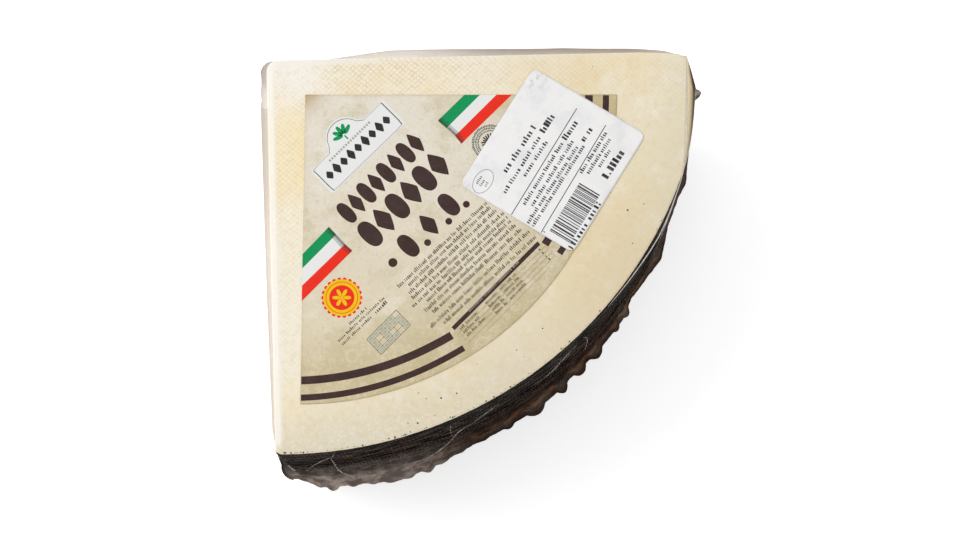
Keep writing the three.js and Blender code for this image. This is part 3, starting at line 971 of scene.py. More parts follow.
def make_film():
    """One closed skin: up the wall, round the hem, up to the rim and in over the quarter label."""
    base = level(HEM_HEIGHT)
    count = len(base)
    along = running_length(base)
    hems = [hem_of(s) for s in base]
    veil, darkness, greyness, crumple, edge_shade = np.array([hem_look(s) for s in base]).T
    pleat = [ripple(a, scale=2.6, seed=6) + 0.5 * ripple(a, scale=1.3, seed=9) for a in along]
    pucker = [c * max(0.0, p) for c, p in zip(crumple, pleat)]
    at_left = np.array([s["stretch"] in ("left", "left_corner") for s in base])
    fading = np.where(at_left, lerp(1.5, 0.35, darkness), 1.5)
    rings, veils, lies = [], [], []

    def add(points, mark, depth, share=0.0):
        """A ring, with how much it hides, its depth in the film's own grain, and its share of the hem."""
        rings.append(np.asarray(points, float))
        veils.append(veil * mark)
        lies.append(np.stack([along, np.full(count, depth), np.full(count, share)], axis=1))

    def wall(z, height):
        near = max(0.0, 1 - abs(z - HEM_HEIGHT) / TENT_REACH)
        points = []
        for i, s in enumerate(level(z)):
            stand = TENT_SHARE * hems[i][0] * near ** 2
            stand += 0.5 * near * pucker[i]
            stand += 0.03 * abs(ripple(along[i], z, scale=9, seed=1))
            place = s["place"] + s["normal"] * stand
            points.append((place[0], place[1], height))
        add(points, HEM_ROOT_VEIL * near ** fading, z)

    def flange(share, side):
        points = []
        for i, s in enumerate(base):
            hem, rise = hems[i]
            reach = lerp(TENT_SHARE * hem + 0.4 * pucker[i], hem, share)
            z = HEM_HEIGHT + rise * share
            z += PLEAT_RISE * crumple[i] * pleat[i] * math.sqrt(share) * min(1.0, hem / 5)
            z += side * lerp(HEM_ROOT, HEM_THICKNESS / 2, share ** 0.4)
            place = s["place"] + s["normal"] * reach
            points.append((place[0], place[1], z))
        add(points, lerp(HEM_ROOT_VEIL, 1.0, share), HEM_HEIGHT + 12 * share * side, share)

    for z in FILM_WALL_LOW:
        wall(z, z)
    for share in HEM_SHARES:
        flange(share, -1)
    for share in HEM_SHARES[::-1]:
        flange(share, 1)
    for z in FILM_WALL_HIGH:
        wall(z, z)
    wall(HEIGHT, FILM_TOP)

    last = rings[-1]
    sill = label_outline(FILM_STEP)
    for share in FILM_SILL_SHARES:
        flat = lerp(last[:, :2], sill, share)
        add(np.column_stack([flat, np.full(count, FILM_TOP)]), 0.0, 150.0)
    for grow in FILM_CLIMB:
        flat = label_outline(grow)
        heights = [film_height(x, y) for x, y in flat]
        add(np.column_stack([flat, heights]), 0.0, 160.0)
    centre = np.array([*FILM_MIDDLE, FILM_OVER_LABEL])
    inner = rings[-1]
    for share in FILM_FACE_SHARES:
        ring = centre + (inner - centre) * share
        ring[:, 2] += [0.05 * abs(ripple(x, y, scale=14, seed=2)) for x, y in ring[:, :2]]
        add(ring, 0.0, 170.0)
    points = np.vstack(rings + [centre[None], [[*FACE_MIDDLE, 0.0]]])
    marks = {"veil": np.concatenate(veils + [[0.0, 0.0]]), "lie": np.vstack(lies + [np.zeros((2, 3))])}
    for name, values in (("darkness", darkness), ("greyness", greyness), ("crumple", crumple), ("edge_shade", edge_shade)):
        marks[name] = np.concatenate([values] * len(rings) + [[0.0, 0.0]])
    return make_mesh("film", points, closed_faces(count, len(rings)), [film_finish()], marks=marks)


def wall_spot(degrees, z, out):
    """A place over the round side, by its angle, its height and how far out it lies."""
    spot = heading(math.radians(degrees)) * (side_radius(z) + out)
    return (spot[0], spot[1], z)


FILM_FOLDS = [  # (width, [(degrees about the axis, height, how far out), ...]) of folds over the rind
    (0.24, [(-88.7, 77.5, 1.1), (-87.3, 92.5, 0.3), (-85.9, 108.8, 0.3), (-83.6, 126.8, 0.3)]),
    (0.36, [
        (-83.1, 139.5, 0.3), (-84.1, 117.5, 0.3), (-84.2, 94.0, 0.3), (-84.2, 77.4, 1.1),
        (-83.6, 75.6, 2.8), (-82.4, 75.6, 4.6), (-81.4, 75.5, 6.6),
    ]),
    (0.24, [(-67.1, 132.8, 0.3), (-67.3, 111.9, 0.3), (-67.3, 83.3, 0.6)]),
    (0.34, [
        (-75.6, 75.6, 4.4), (-73.4, 75.8, 4.6), (-71.3, 75.9, 4.4), (-69.9, 75.9, 3.3),
        (-68.4, 76.6, 1.9), (-67.2, 80.6, 0.8), (-66.3, 91.9, 0.3), (-65.1, 97.2, 0.3),
        (-63.8, 101.6, 0.3),
    ]),
    (0.2, [(-63.8, 101.6, 0.3), (-62.5, 108.8, 0.3), (-61.2, 115.0, 0.3), (-59.6, 116.2, 0.3)]),
    (0.2, [(-52.0, 100.0, 0.3), (-50.2, 108.0, 0.3), (-48.4, 116.7, 0.3), (-46.4, 121.0, 0.3)]),
    (0.2, [(-44.6, 80.0, 1.0), (-44.0, 96.0, 0.3), (-44.4, 112.0, 0.3), (-45.2, 126.0, 0.3)]),
    (0.3, [(-81.6, 75.4, 5.8), (-79.6, 75.5, 5.6), (-77.8, 75.5, 5.7)]),
]
FOLD_HEIGHT = 0.35
RIM_FOLD = [  # a fold of the film that stands along the rim, as places on the face
    (168.1, -8.9), (168.1, -15.0), (168.1, -22.8), (167.9, -35.7), (167.3, -48.6), (166.4, -56.3),
    (165.0, -61.4), (162.9, -67.6), (160.6, -73.9), (158.0, -80.1), (155.2, -85.9), (151.8, -91.4),
    (148.3, -96.5), (144.8, -101.4), (142.2, -104.9), (138.1, -110.0), (134.2, -114.7),
]
RIM_FOLD_SIZE = (0.55, 0.3)
RIM_FOLD_HALVES = (RIM_FOLD[:6], RIM_FOLD[4:])  # they overlap, because each fades out at its ends
FOLD_STEPS = 6  # between two places of a fold


def sweep(path, width, height, points, faces):
    """A low three-sided ridge along a path, standing out from the cheese's middle."""
    path = np.array(path, float)
    fine = []
    for a, b in zip(path[:-1], path[1:]):
        fine += [lerp(a, b, t) for t in np.linspace(0, 1, FOLD_STEPS + 1)[:-1]]
    fine = np.array(fine + [path[-1]])
    first = len(points)
    for i, spot in enumerate(fine):
        tangent = fine[min(i + 1, len(fine) - 1)] - fine[max(i - 1, 0)]
        tangent /= np.linalg.norm(tangent)
        out = spot - CHEESE_MIDDLE
        out -= tangent * (out @ tangent)
        out /= np.linalg.norm(out)
        side = np.cross(tangent, out)
        fade = math.sin(math.pi * (i + 0.6) / (len(fine) + 0.2)) ** 0.5
        for step, rise in ((-1, -0.3), (0, 1), (1, -0.3)):
            points.append(spot + side * step * width * 0.5 * fade + out * rise * height * fade)
    for i in range(len(fine) - 1):
        a = first + 3 * i
        faces += [(a, a + 1, a + 4, a + 3), (a + 1, a + 2, a + 5, a + 4), (a + 2, a, a + 3, a + 5)]


def make_folds():
    """Ridges of the film over the rind, and a more solid one along the rim, pale to paint the highlights
    along them.
    """
    points, faces = [], []
    for width, path in FILM_FOLDS:
        sweep([wall_spot(*spot) for spot in path], width, FOLD_HEIGHT, points, faces)
    over_rind = len(faces)
    for half in RIM_FOLD_HALVES:
        sweep([(x, y, FILM_TOP + 0.05) for x, y in half], *RIM_FOLD_SIZE, points, faces)
    which = [int(k >= over_rind) for k in range(len(faces))]
    finishes = [fold_highlight_finish("film_fold_highlight", 0.12, 0.45), fold_highlight_finish("rim_fold_highlight", 0.5, 0.4)]
    return make_mesh("film_folds", np.array(points), faces, finishes, face_materials=which)


# ---------------------------------------------------------------- the labels

def make_label(material):
    """A thin closed sheet, with marks for its edge and corner and for its round rim."""
    rings, edge, rim = [], [], []

    def add(flat, z):
        rings.append(np.column_stack([flat, np.full(STATION_COUNT, z)]))
        for x, y in flat:
            reach = math.hypot(x - LABEL_CORNER[0], y - LABEL_CORNER[1])
            by_edge = math.exp(-max(0.0, -label_distance(x, y)) / 0.8)
            edge.append(0.75 * bell(reach, 0.0, 6.0) + 0.25 * by_edge)
            rim.append(rise_over((96, 122), reach))

    add(label_outline(0.0), LABEL_BOTTOM)
    add(label_outline(0.0), LABEL_TOP)
    for grow in (-0.6, -1.5, -3.0):
        add(label_outline(grow), LABEL_TOP)
    inner = rings[-1][:, :2]
    for share in np.linspace(0.96, 0.04, 24):
        add(LABEL_MIDDLE + (inner - LABEL_MIDDLE) * share, LABEL_TOP)
    points = np.vstack(rings + [[[*LABEL_MIDDLE, LABEL_TOP], [*LABEL_MIDDLE, LABEL_BOTTOM]]])
    marks = {"edge": np.array(edge + [0, 0]), "rim": np.array(rim + [0, 0])}
    faces = closed_faces(STATION_COUNT, len(rings))
    return make_mesh("quarter_label", points, faces, [material], marks=marks)


def sticker_spot(u, v):
    """A place on the sticker, in its own millimetres, as a place on the face."""
    c, s = math.cos(STICKER_TURN), math.sin(STICKER_TURN)
    return STICKER_CENTRE[0] + u * c - v * s, STICKER_CENTRE[1] + u * s + v * c


def sticker_crease(u, v):
    """How crinkled the sticker is near its top and left corners."""
    half_u, half_v = STICKER_SIZE[0] / 2, STICKER_SIZE[1] / 2
    top = bell(u, 3 - half_u, 5) * bell(v, half_v - 5, 6)
    left = bell(u, -half_u, 4) * bell(v, -half_v, 5)
    return top, left


def sticker_height(u, v):
    """The height of the sticker's upper face."""
    x, y = sticker_spot(u, v)
    top, left = sticker_crease(u, v)
    z = film_height(x, y) + STICKER_GAP + STICKER_PAPER
    return z + 0.35 * top * abs(ripple(u, v, scale=2.2, seed=5)) + 0.9 * left ** 2


def rounded_spot(u, v):
    """A place on the sticker's rectangle, drawn in to its round corners."""
    half_u, half_v = STICKER_SIZE[0] / 2, STICKER_SIZE[1] / 2
    du, dv = abs(u) - (half_u - STICKER_ROUND), abs(v) - (half_v - STICKER_ROUND)
    if du > 0 and dv > 0 and math.hypot(du, dv) > STICKER_ROUND:
        pull = STICKER_ROUND / math.hypot(du, dv)
        u = math.copysign(half_u - STICKER_ROUND + du * pull, u)
        v = math.copysign(half_v - STICKER_ROUND + dv * pull, v)
    return u, v


def make_sticker(material):
    """A thin closed sheet that follows the film, with round corners and two crinkled ones."""
    nu, nv = STICKER_STEPS
    half_u, half_v = STICKER_SIZE[0] / 2, STICKER_SIZE[1] / 2
    flat = []
    for j in range(nv + 1):
        for i in range(nu + 1):
            flat.append(rounded_spot(lerp(-half_u, half_u, i / nu), lerp(-half_v, half_v, j / nv)))
    points, crease = [], []
    for drop in (0.0, STICKER_PAPER):
        for u, v in flat:
            x, y = sticker_spot(u, v)
            points.append((x, y, sticker_height(u, v) - drop))
            crease.append(sum(sticker_crease(u, v)))
    total = len(flat)
    faces = []
    for j in range(nv):
        for i in range(nu):
            a = j * (nu + 1) + i
            quad = (a, a + 1, a + nu + 2, a + nu + 1)
            faces.append(quad)
            faces.append(tuple(k + total for k in quad[::-1]))
    border = list(range(nu + 1)) + [j * (nu + 1) + nu for j in range(1, nv + 1)]
    border += [nv * (nu + 1) + i for i in range(nu - 1, -1, -1)]
    border += [j * (nu + 1) for j in range(nv - 1, 0, -1)]
    for a, b in zip(border, border[1:] + border[:1]):
        faces.append((b, a, a + total, b + total))
    return make_mesh("weigh_sticker", np.array(points), faces, [material], marks={"crease": crease})


SAG_START = -62  # where, in degrees, a band starts to sag
SAG_RUN = 28


class Print:
    """Flat printed shapes that lie on a label, each ink a material of one mesh."""

    BELOW = 0.04  # how far a shape's foot lies under the paper's face
    LAYER = 0.025  # how far each layer stands over it

    def __init__(self, name, inks, spot, height):
        self.name = name
        self.inks = list(inks)
        self.materials = [inks[key] for key in self.inks]
        self.spot = spot
        self.height = height
        self.points = []
        self.faces = []
        self.ink_of = []

    def shape(self, ink, corners, layer=1):
        """A filled shape with its corners in the label's own millimetres."""
        after = corners[1:] + corners[:1]
        if sum(a[0] * b[1] - b[0] * a[1] for a, b in zip(corners, after)) < 0:
            corners = corners[::-1]
        first = len(self.points)
        count = len(corners)
        for lift in (-self.BELOW, self.LAYER * layer):
            for u, v in corners:
                x, y = self.spot(u, v)
                self.points.append((x, y, self.height(u, v) + lift))
        self.faces.append(tuple(range(first + count, first + 2 * count)))
        for i in range(count):
            j = (i + 1) % count
            self.faces.append((first + i, first + j, first + count + j, first + count + i))
        self.ink_of += [self.inks.index(ink)] * (count + 1)

    def bar(self, ink, start, end, width, layer=1, piece=3.0):
        """A straight bar between two points, in short pieces that follow the paper."""
        start, end = np.array(start, float), np.array(end, float)
        length = np.linalg.norm(end - start)
        side = np.array([start[1] - end[1], end[0] - start[0]]) / length * width / 2
        steps = max(1, int(math.ceil(length / piece)))
        for i in range(steps):
            a, b = lerp(start, end, i / steps), lerp(start, end, (i + 1) / steps)
            self.shape(ink, [a - side, b - side, b + side, a + side], layer)

    def disc(self, ink, centre, radius, layer=1, corners=40):
        self.shape(ink, [centre + heading(angle) * radius for angle in turns(corners)], layer)

    def arc(self, ink, centre, inner, outer, start, end, drop=0.0):
        """A curved band between two radii and two angles in degrees, that can sag to the left edge."""
        steps = max(2, int(abs(end - start) / 1.5))
        for i in range(steps):
            corners = []
            for k, sides in ((0, (inner, outer)), (1, (outer, inner))):
                angle = lerp(start, end, (i + k) / steps)
                sag = drop * min(1.0, max(0.0, (SAG_START - angle) / SAG_RUN)) ** 1.3
                out = heading(math.radians(angle))
                corners += [np.array(centre) + out * (side + sag) for side in sides]
            self.shape(ink, corners)

    def ring(self, ink, centre, radius, width, layer=1, stretch=1.0, turn=0.0):
        """A thin oval line."""
        c, s = math.cos(turn), math.sin(turn)
        angles = turns(36) + [2 * math.pi]

        def edge(out, angle):
            u, v = (radius * stretch + out) * math.cos(angle), (radius + out) * math.sin(angle)
            return (centre[0] + u * c - v * s, centre[1] + u * s + v * c)

        for a, b in zip(angles[:-1], angles[1:]):
            corners = [edge(-width / 2, a), edge(width / 2, a), edge(width / 2, b), edge(-width / 2, b)]
            self.shape(ink, corners, layer)

    def row(self, ink, start, end, height, mark, seed, words=(3, 9), fill=0.6, layer=1):
        """A row of small plain marks in groups."""
        rng = random.Random(seed)
        start, end = np.array(start, float), np.array(end, float)
        length = np.linalg.norm(end - start)
        along = (end - start) / length
        up = np.array([-along[1], along[0]])
        place, left = 0.0, rng.randint(*words)
        while place + mark < length:
            if left == 0:
                place += mark * rng.uniform(0.7, 1.1)
                left = rng.randint(*words)
                continue
            rise = up * height * rng.choice((0.6, 0.62, 0.66, 0.9))
            run = along * mark * fill * rng.uniform(0.6, 1.15)
            foot = start + along * place - up * height * 0.36
            self.shape(ink, [foot, foot + run, foot + run + rise, foot + rise], layer)
            place += mark
            left -= 1

    def finish(self):
        points = np.array(self.points)
        return make_mesh(
            self.name, points, self.faces, self.materials, face_materials=self.ink_of, smooth_shade=False,
        )


ORNAMENT_POWERS = {"oval": (0.85, 0.9), "lozenge": (1.75, 1.75)}  # of its curve, along and across


def ornament(kind, centre, angle, width, height):
    """The corners of one oval or lozenge, with its width along an angle."""
    along, up = heading(angle), heading(angle + math.pi / 2)
    wide_power, tall_power = ORNAMENT_POWERS[kind]
    corners = []
    for t in turns(28):
        u = math.copysign(abs(math.cos(t)) ** wide_power, math.cos(t)) * width / 2
        v = math.copysign(abs(math.sin(t)) ** tall_power, math.sin(t)) * height / 2
        corners.append(np.array(centre) + along * u + up * v)
    return corners


# ---- The quarter label's print, in millimetres from the label's corner ----
PLATE_SLANT = math.radians(45.0)
PLATE_MIDDLE = np.array([21.0, -23.5])
PLATE_ARCH = [np.array([17.4, -18.4]) + heading(math.radians(a)) * 8.7 for a in range(62, 210, 12)]
PLATE = [
    (2.8, -33.4), (4.6, -34.9), (9.9, -40.4), (12.0, -42.2), (13.8, -40.6), (40.1, -14.4), (41.9, -12.3),
    (40.2, -10.2), (34.4, -4.3), (32.6, -2.5), (30.9, -4.2), (24.9, -10.3), *PLATE_ARCH, (9.9, -25.6),
    (4.4, -31.2),
]
SPRIG_ROOT = np.array([16.6, -17.6])
FRIEZE_SLANT = math.radians(46.3)
FRIEZE_ROWS = [  # (start, length, how many, height, width) of the rows of ovals and lozenges in turn
    ((15.85, -52.9), 47.2, 8, 10.5, 5.1),
    ((24.95, -62.65), 48.9, 6, 12.6, 7.3),
]
FRIEZE_LAST_ROW = [((43.7, -64.8), "oval"), ((52.2, -55.9), "lozenge"), ((60.5, -47.4), "oval")]
FRIEZE_DOTS = [((37.3, -71.9), 1.9), ((51.7, -63.5), 1.45), ((60.5, -54.5), 1.45), ((67.8, -47.3), 1.45)]
RIBBON_INKS = ("green_ink", "white_ink", "red_ink")
UPPER_RIBBON_END = ((55.8, -11.4), (59.4, -14.7), (63.0, -18.0), (65.7, -21.4))
UPPER_RIBBON_EDGE = (66.9, 73.5, 80.4, 86.9)  # along the label's back edge
LOWER_RIBBON_END = ((10.5, -56.7), (13.6, -59.9), (17.3, -64.0), (20.4, -66.8))
LOWER_RIBBON_EDGE = (-68.2, -74.2, -81.5, -88.0)  # along the label's left edge
FINE_ROWS = [  # (start, end)
    ((39.6, -82.1), (76.8, -46.0)), ((43.9, -81.4), (78.5, -47.7)), ((44.1, -84.8), (80.6, -49.4)),
    ((45.5, -86.9), (83.5, -50.7)), ((45.6, -90.4), (85.2, -52.4)), ((51.6, -88.1), (86.8, -53.7)),
    ((50.9, -92.3), (88.9, -55.4)), ((54.1, -92.8), (91.0, -57.5)), ((53.2, -99.0), (94.3, -58.4)),
    ((58.6, -97.4), (96.8, -60.9)),
]
FINER_ROWS = [
    ((19.5, -97.7), (26.8, -90.7)), ((15.0, -104.8), (33.9, -86.5)), ((16.6, -106.2), (29.6, -93.6)),
]
RULED_TABLE = np.array([62.3, -99.7])
RULED_TABLE_RIM = 126.5
RULED_TABLE_COLUMNS = ((2, 13), (17, 24), (25.5, 35), (48.5, 50))
BANDS = ((118.0, 121.3, -58.9), (125.5, 128.1, -58.2))  # (inner radius, outer radius, where it stops)
GRID_CORNER = np.array([26.7, -104.1])
GRID_WIDE = np.array([12.1, 12.3])
GRID_DEEP = np.array([6.0, -6.3])
GRID_ROWS = (0, 0.25, 0.5, 0.75, 1)
GRID_COLUMNS = (0, 0.17, 0.34, 0.5, 0.67, 0.84, 1)
BADGE = np.array([16.2, -86.6])
ROSETTE = np.array([77.9, -21.0])


def drawn_in(share):
    """The plate's outline, drawn in toward its middle."""
    return [PLATE_MIDDLE + (np.array(corner) - PLATE_MIDDLE) * share for corner in PLATE]


def print_plate(p):
    """A white plate with an arch, a row of lozenges, a row of short dashes and a small sprig."""
    p.shape("white_ink", PLATE, 1)
    p.shape("slate_ink", drawn_in(0.955), 2)
    p.shape("white_ink", drawn_in(0.935), 3)
    along, up = heading(PLATE_SLANT), heading(PLATE_SLANT + math.pi / 2)
    for k in range(9):
        centre = np.array([10.7, -34.6]) + along * (k * 4.15)
        p.shape("black_ink", ornament("lozenge", centre, PLATE_SLANT, 3.4, 5.6 if k % 2 else 4.2), 4)
    for k in range(18):
        start = np.array([10.4, -28.7]) + along * (k * 1.35)
        p.bar("grey_ink", start, start + along * 0.8, 1.0, 4)
    for k in range(5):
        lean = math.radians(135 + (k - 2) * 34)
        leaf = SPRIG_ROOT + heading(lean) * 2.9
        p.shape("green_ink", ornament("oval", leaf, lean - math.pi / 2, 1.7, 4.4), 4)
    p.bar("green_ink", SPRIG_ROOT - up * 2.2, SPRIG_ROOT, 0.6, 4)


def print_frieze(p):
    """Three slanting rows of tall ornaments, with dots between the last two."""
    along = heading(FRIEZE_SLANT)
    for start, length, count, tall, wide in FRIEZE_ROWS:
        for k in range(count):
            centre = np.array(start) + along * length * (k + 0.5) / count
            p.shape("brown_ink", ornament(("oval", "lozenge")[k % 2], centre, FRIEZE_SLANT, wide, tall))
    for centre, kind in FRIEZE_LAST_ROW:
        p.shape("brown_ink", ornament(kind, centre, FRIEZE_SLANT, 6.4, 11.2))
    for centre, radius in FRIEZE_DOTS:
        p.disc("brown_ink", centre, radius, 1, 24)


def print_ribbons(p):
    """Two three-coloured ribbons that run off the label's edges, each shaded at its inner end."""
    end, edge = UPPER_RIBBON_END, UPPER_RIBBON_EDGE
    for k, ink in enumerate(RIBBON_INKS):
        p.shape(ink, [end[k], end[k + 1], (edge[k + 1], -0.35), (edge[k], -0.35)])
    end, edge = LOWER_RIBBON_END, LOWER_RIBBON_EDGE
    for k, ink in enumerate(RIBBON_INKS):
        u = -0.05 + 0.004 * edge[k]
        p.shape(ink, [end[k], (u, edge[k]), (u, edge[k + 1]), end[k + 1]])
    for end, inward in ((UPPER_RIBBON_END, 44), (LOWER_RIBBON_END, 226)):
        inward = heading(math.radians(inward))
        for k in range(3):
            a, b = np.array(end[k]), np.array(end[k + 1])
            for ink, reach, layer in (("shade_1", 2.2, 2), ("shade_2", 1.1, 3)):
                p.shape(ink, [a, b, b + inward * reach, a + inward * reach], layer)


def print_badge(p):
    """A round red and yellow badge with a scalloped edge and six petals."""
    for angle in turns(22):
        p.disc("red_ink", BADGE + heading(angle) * 7.7, 0.85, 1, 12)
    p.disc("gold_ink", BADGE, 7.7, 2, 48)
    p.ring("red_ink", BADGE, 6.6, 0.25, 3)
    p.disc("red_ink", BADGE, 5.2, 3)
    for angle in turns(6):
        petal = BADGE + heading(angle) * 2.3
        p.shape("gold_ink", ornament("oval", petal, angle - math.pi / 2, 1.5, 3.2), 4)
    p.disc("gold_ink", BADGE, 0.7, 4, 16)


def print_fine_rows(p):
    for k, (start, end) in enumerate(FINE_ROWS):
        p.row("soft_ink", start, end, 1.9, 0.8, 100 + k)
    for k, (start, end) in enumerate(FINER_ROWS):
        p.row("soft_ink", start, end, 1.3, 0.8, 130 + k)
    p.row("brown_ink", (30.2, -93.0), (35.5, -87.7), 1.6, 1.0, 140)


def print_ruled_table(p):
    """A dark bar, and outside it ruled lines and rows in columns, as far as the label's rim allows."""
    along, out = heading(math.radians(45.4)), heading(math.radians(-44.6))
    p.shape("brown_ink", [(61.7, -99.1), (63.0, -100.4), (98.6, -64.5), (97.4, -63.1)])
    p.row("grey_ink", (69.0, -92.5), (90.2, -71.0), 1.0, 0.9, 150, layer=2)
    for k in range(7):
        start = RULED_TABLE + out * (3.0 + 1.9 * k)
        inside = [a for a in np.arange(0, 52, 0.5) if np.linalg.norm(start + along * a) < RULED_TABLE_RIM]
        if inside:
            p.bar("line_ink", start + along * inside[0], start + along * inside[-1], 0.14, piece=60)
    for k in range(4):
        start = RULED_TABLE + out * (2.3 + 1.95 * k)
        for column, (a, b) in enumerate(RULED_TABLE_COLUMNS):
            a, b = start + along * a, start + along * b
            if np.linalg.norm(a) < RULED_TABLE_RIM - 1.5 and np.linalg.norm(b) < RULED_TABLE_RIM:
                p.row("soft_ink", a, b, 1.35, 0.85, 160 + 10 * column + k)


def print_bands(p):
    """Two brown bands that follow the round edge, each in three stretches."""
    for inner, outer, stop in BANDS:
        p.arc("brown_ink", (0, 0), inner, outer, -90.1, stop, drop=1.5)
        p.arc("brown_ink", (-0.3, 0), inner, outer, -32.6, -30.3)
        p.arc("brown_ink", (-0.4, 0), inner, outer, -14.0, -0.35)


def print_grid(p, rng):
    """A small ruled table with pale marks in most of its cells."""
    for shares, step, run in ((GRID_ROWS, GRID_DEEP, GRID_WIDE), (GRID_COLUMNS, GRID_WIDE, GRID_DEEP)):
        for share in shares:
            start = GRID_CORNER + step * share
            p.bar("slate_ink", start, start + run, 0.22 if share in (0, 1) else 0.14, piece=40)
    for i in range(6):
        for j in range(4):
            if rng.random() < 0.72:
                start = GRID_CORNER + GRID_WIDE * ((i + 0.2) / 6) + GRID_DEEP * ((j + 0.5) / 4)
                p.bar("sage_ink", start, start + GRID_WIDE * 0.11, 1.25)


def print_rosette(p, rng):
    """Three rings of fine ticks round a star of short strokes, partly under the sticker."""
    for inner, outer, ticks in ((6.9, 8.0, 66), (5.9, 6.7, 58), (4.9, 5.7, 48)):
        for angle in turns(ticks):
            reach = outer - rng.uniform(0, 0.35)
            p.bar("slate_ink", ROSETTE + heading(angle) * inner, ROSETTE + heading(angle) * reach, 0.46)
    for angle in turns(20):
        reach = rng.uniform(3.3, 4.2)
        p.bar("black_ink", ROSETTE + heading(angle), ROSETTE + heading(angle) * reach, 0.6)


def make_label_print(inks):
    def spot(u, v):
        return LABEL_CORNER[0] + u, LABEL_CORNER[1] + v

    p = Print("label_print", inks, spot, lambda u, v: LABEL_TOP)
    rng = random.Random(21)
    print_plate(p)
    print_frieze(p)
    print_ribbons(p)
    print_badge(p)
    print_fine_rows(p)
    print_ruled_table(p)
    print_bands(p)
    print_grid(p, rng)
    print_rosette(p, rng)
    return p.finish()


# ---- The sticker's print, in millimetres from the sticker's middle ----
STICKER_ROWS = [  # (start, end, height, size of a mark, how many in a group, how full)
    ((-14.4, -15.0), (-14.0, 8.7), 2.8, 1.5, (3, 6), 0.6),
    ((-9.8, -22.7), (-9.8, 6.6), 2.0, 1.25, (3, 8), 0.62),
    ((-9.9, 7.6), (-9.8, 16.8), 3.0, 1.5, (9, 9), 0.8),
    ((-6.5, -12.3), (-6.2, 6.0), 2.0, 1.2, (6, 9), 0.6),
    ((-0.3, -22.7), (-0.4, 8.6), 2.0, 1.0, (4, 9), 0.6),
    ((-0.4, 9.8), (0.0, 19.8), 2.8, 1.35, (6, 7), 0.66),
    ((2.8, -21.4), (2.9, 11.4), 2.0, 1.0, (3, 12), 0.6),
    ((5.2, -28.6), (5.8, 11.0), 2.0, 1.0, (4, 10), 0.6),
    ((7.6, -28.6), (7.9, 12.0), 2.0, 1.0, (4, 10), 0.6),
    ((6.4, 13.2), (6.8, 22.2), 2.8, 1.35, (2, 2), 0.66),
    ((12.9, 1.1), (12.9, 21.7), 2.0, 1.0, (4, 5), 0.6),
    ((15.5, 2.5), (15.7, 21.1), 2.0, 1.0, (6, 12), 0.6),
    ((18.0, 7.4), (18.1, 16.2), 2.0, 1.0, (4, 4), 0.6),
]
LARGE_MARKS = (3.1, 0.8, 3.1, 3.1, 3.1, 2.3, 2.3)
STAMP = (-20.0, -23.2)
STAMP_ROWS = ((-1.7, 2.2), (0.1, 2.2), (1.9, 1.4))  # (offset, half its length)


def print_stripes(p):
    """A block of dark stripes of random widths."""
    rng = random.Random(33)
    v = -26.6
    while v < -3.0:
        thick = rng.choice((0.34, 0.34, 0.55, 0.8))
        middle = v + thick / 2
        p.bar("thermal_ink", (14.6, middle), (24.6 if v > -25 else 25.4, middle), thick, piece=2.5)
        v += thick + rng.choice((0.25, 0.25, 0.5, 0.75))


def print_stamp(p):
    """A small grey oval with three short rows in it."""
    p.ring("thermal_grey", STAMP, 3.7, 0.2, stretch=1.5, turn=math.radians(88))
    for k, (offset, half) in enumerate(STAMP_ROWS):
        u = STAMP[0] + offset
        p.row("thermal_grey", (u, STAMP[1] - half), (u, STAMP[1] + half), 1.3, 0.8, 220 + k)


def make_sticker_print(inks):
    p = Print("sticker_print", inks, sticker_spot, sticker_height)
    p.bar("thermal_ink", (-2.9, 23.9), (-2.5, -29.2), 0.34, piece=1.5)
    p.bar("thermal_ink", (11.2, 24.1), (12.0, -29.2), 0.34, piece=1.5)
    for k, (start, end, height, mark, words, fill) in enumerate(STICKER_ROWS):
        p.row("thermal_ink", start, end, height, mark, 200 + k, words, fill)
    for k, tall in enumerate(LARGE_MARKS):
        foot = np.array([23.9 + 0.05 * k, 5.3 + 2.0 * k])
        p.bar("thermal_ink", foot, foot + (-tall, 0), 1.35 if tall > 1 else 0.7)
    print_stripes(p)
    p.row("thermal_ink", (26.0, -28.4), (26.2, -3.0), 2.5, 1.85, 214, words=(6, 7), fill=0.5)
    p.row("thermal_ink", (12.9, -28.4), (13.0, -26.6), 1.2, 1.0, 215, words=(1, 1))
    print_stamp(p)
    return p.finish()


# ---------------------------------------------------------------- building it

def adopt(piece, slot, *nodes):
    """Put a piece on the part's one body, in place of the nodes that it replaces; its slot is not used."""
    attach(piece, "root")
    if nodes:
        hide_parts(*nodes)


adopt(make_paste(), "cheese_paste", "sealed_cheese")
adopt(make_rind(), "black_rind", "sealed_cheese")
adopt(make_specks(), "cheese_paste")
adopt(make_film(), "clear_film", "sealed_cheese")
adopt(make_folds(), "clear_film")

LABEL_INK_TONES = {  # (colour, how worn)
    "brown_ink": ((66, 47, 43), 0.12),
    "black_ink": ((46, 44, 44), 0.12),
    "grey_ink": ((176, 168, 160), 0.12),
    "soft_ink": ((92, 80, 60), 0.12),
    "line_ink": ((144, 133, 106), 0.12),
    "slate_ink": ((80, 94, 90), 0.12),
    "sage_ink": ((172, 180, 164), 0.2),
    "green_ink": ((6, 152, 88), 0.05),
    "white_ink": ((240, 240, 238), 0.04),
    "red_ink": ((243, 46, 26), 0.05),
    "gold_ink": ((250, 198, 14), 0.05),
}
label_inks = {key: ink_finish(key, rgb(*tone), wear=wear) for key, (tone, wear) in LABEL_INK_TONES.items()}
label_inks["shade_1"] = shade_finish("shade_1", 0.16)
label_inks["shade_2"] = shade_finish("shade_2", 0.28)
sticker_inks = {
    "thermal_ink": ink_finish(
        "thermal_ink", rgb(44, 42, 44), under_film=False, wear=0.2, fade=rgb(128, 126, 128),
    ),
    "thermal_grey": ink_finish("thermal_grey", rgb(112, 112, 114), under_film=False),
}
adopt(make_label(label_finish()), "label_paper", "front_label")
adopt(make_label_print(label_inks), "brown_ink", "front_label")
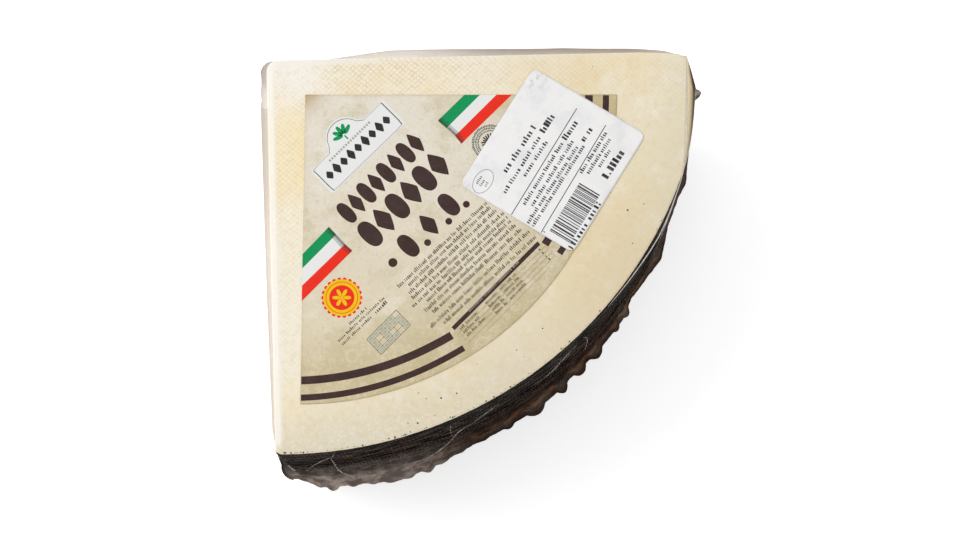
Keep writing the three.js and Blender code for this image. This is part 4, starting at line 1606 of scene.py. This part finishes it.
adopt(make_sticker(sticker_finish()), "weigh_paper", "weigh_label")
adopt(make_sticker_print(sticker_inks), "black_ink", "weigh_label")


# ---------------------------------------------------------------- stage, light and camera

FLOOR_HALF = 3.0
FLOOR_DROP = 0.0006
LIGHTS = [  # (name, place, what it aims at, size, power), in metres and watts
    ("key", (-0.75, 0.25, 1.25), (-0.02, 0.0, 0.1), 0.9, 6.5),
    ("fill", (0.6, -0.8, 1.3), (0.0, 0.0, 0.1), 1.0, 1.0),
]
SKY_STRENGTH = 0.62
LENS = 90.0
SENSOR = 36.0
CAMERA_LEAN_Y = math.radians(10.0)
CAMERA_LEAN_X = math.radians(1.0)
CAMERA_DISTANCE = 996.32
CAMERA_AIM = np.array([81.09, -99.21, HEIGHT])


def make_floor():
    """A wide sheet a little under the base."""
    mesh = bpy.data.meshes.new("floor")
    corners = [(x * FLOOR_HALF, y * FLOOR_HALF, 0) for x, y in ((-1, -1), (1, -1), (1, 1), (-1, 1))]
    mesh.from_pydata(corners, [], [(0, 1, 2, 3)])
    mesh.materials.append(floor_finish())
    floor = bpy.data.objects.new("floor", mesh)
    floor.location.z = -FLOOR_DROP
    bpy.context.scene.collection.objects.link(floor)


def make_light(name, place, target, size, power):
    light = bpy.data.lights.new(name, "AREA")
    light.shape = "DISK"
    light.size = size
    light.energy = power
    lamp = bpy.data.objects.new(name, light)
    lamp.location = place
    lamp.rotation_euler = (Vector(target) - Vector(place)).to_track_quat("-Z", "Y").to_euler()
    bpy.context.scene.collection.objects.link(lamp)


def make_camera():
    """A long lens high over the cut face, a little toward the round side."""
    back = Vector((math.sin(CAMERA_LEAN_X), -math.sin(CAMERA_LEAN_Y), 0))
    back.z = math.sqrt(1 - back.length_squared)
    right = Vector((0, 1, 0)).cross(back).normalized()
    up = back.cross(right)
    aim = Vector(metres([CAMERA_AIM])[0])
    data = bpy.data.cameras.new("camera")
    data.lens = LENS
    data.sensor_width = SENSOR
    data.sensor_fit = "HORIZONTAL"
    data.clip_start = 0.05
    data.clip_end = 20
    camera = bpy.data.objects.new("camera", data)
    turn = Matrix((right, up, back)).transposed().to_4x4()
    camera.matrix_world = Matrix.Translation(aim + back * CAMERA_DISTANCE / 1000) @ turn
    bpy.context.scene.collection.objects.link(camera)
    bpy.context.scene.camera = camera


def make_world():
    world = bpy.data.worlds.new("studio")
    world.use_nodes = True
    background = world.node_tree.nodes["Background"]
    background.inputs["Color"].default_value = (1, 1, 1, 1)
    background.inputs["Strength"].default_value = SKY_STRENGTH
    bpy.context.scene.world = world
    bpy.context.scene.view_settings.view_transform = "Standard"


make_floor()
make_world()
for light in LIGHTS:
    make_light(*light)
make_camera()
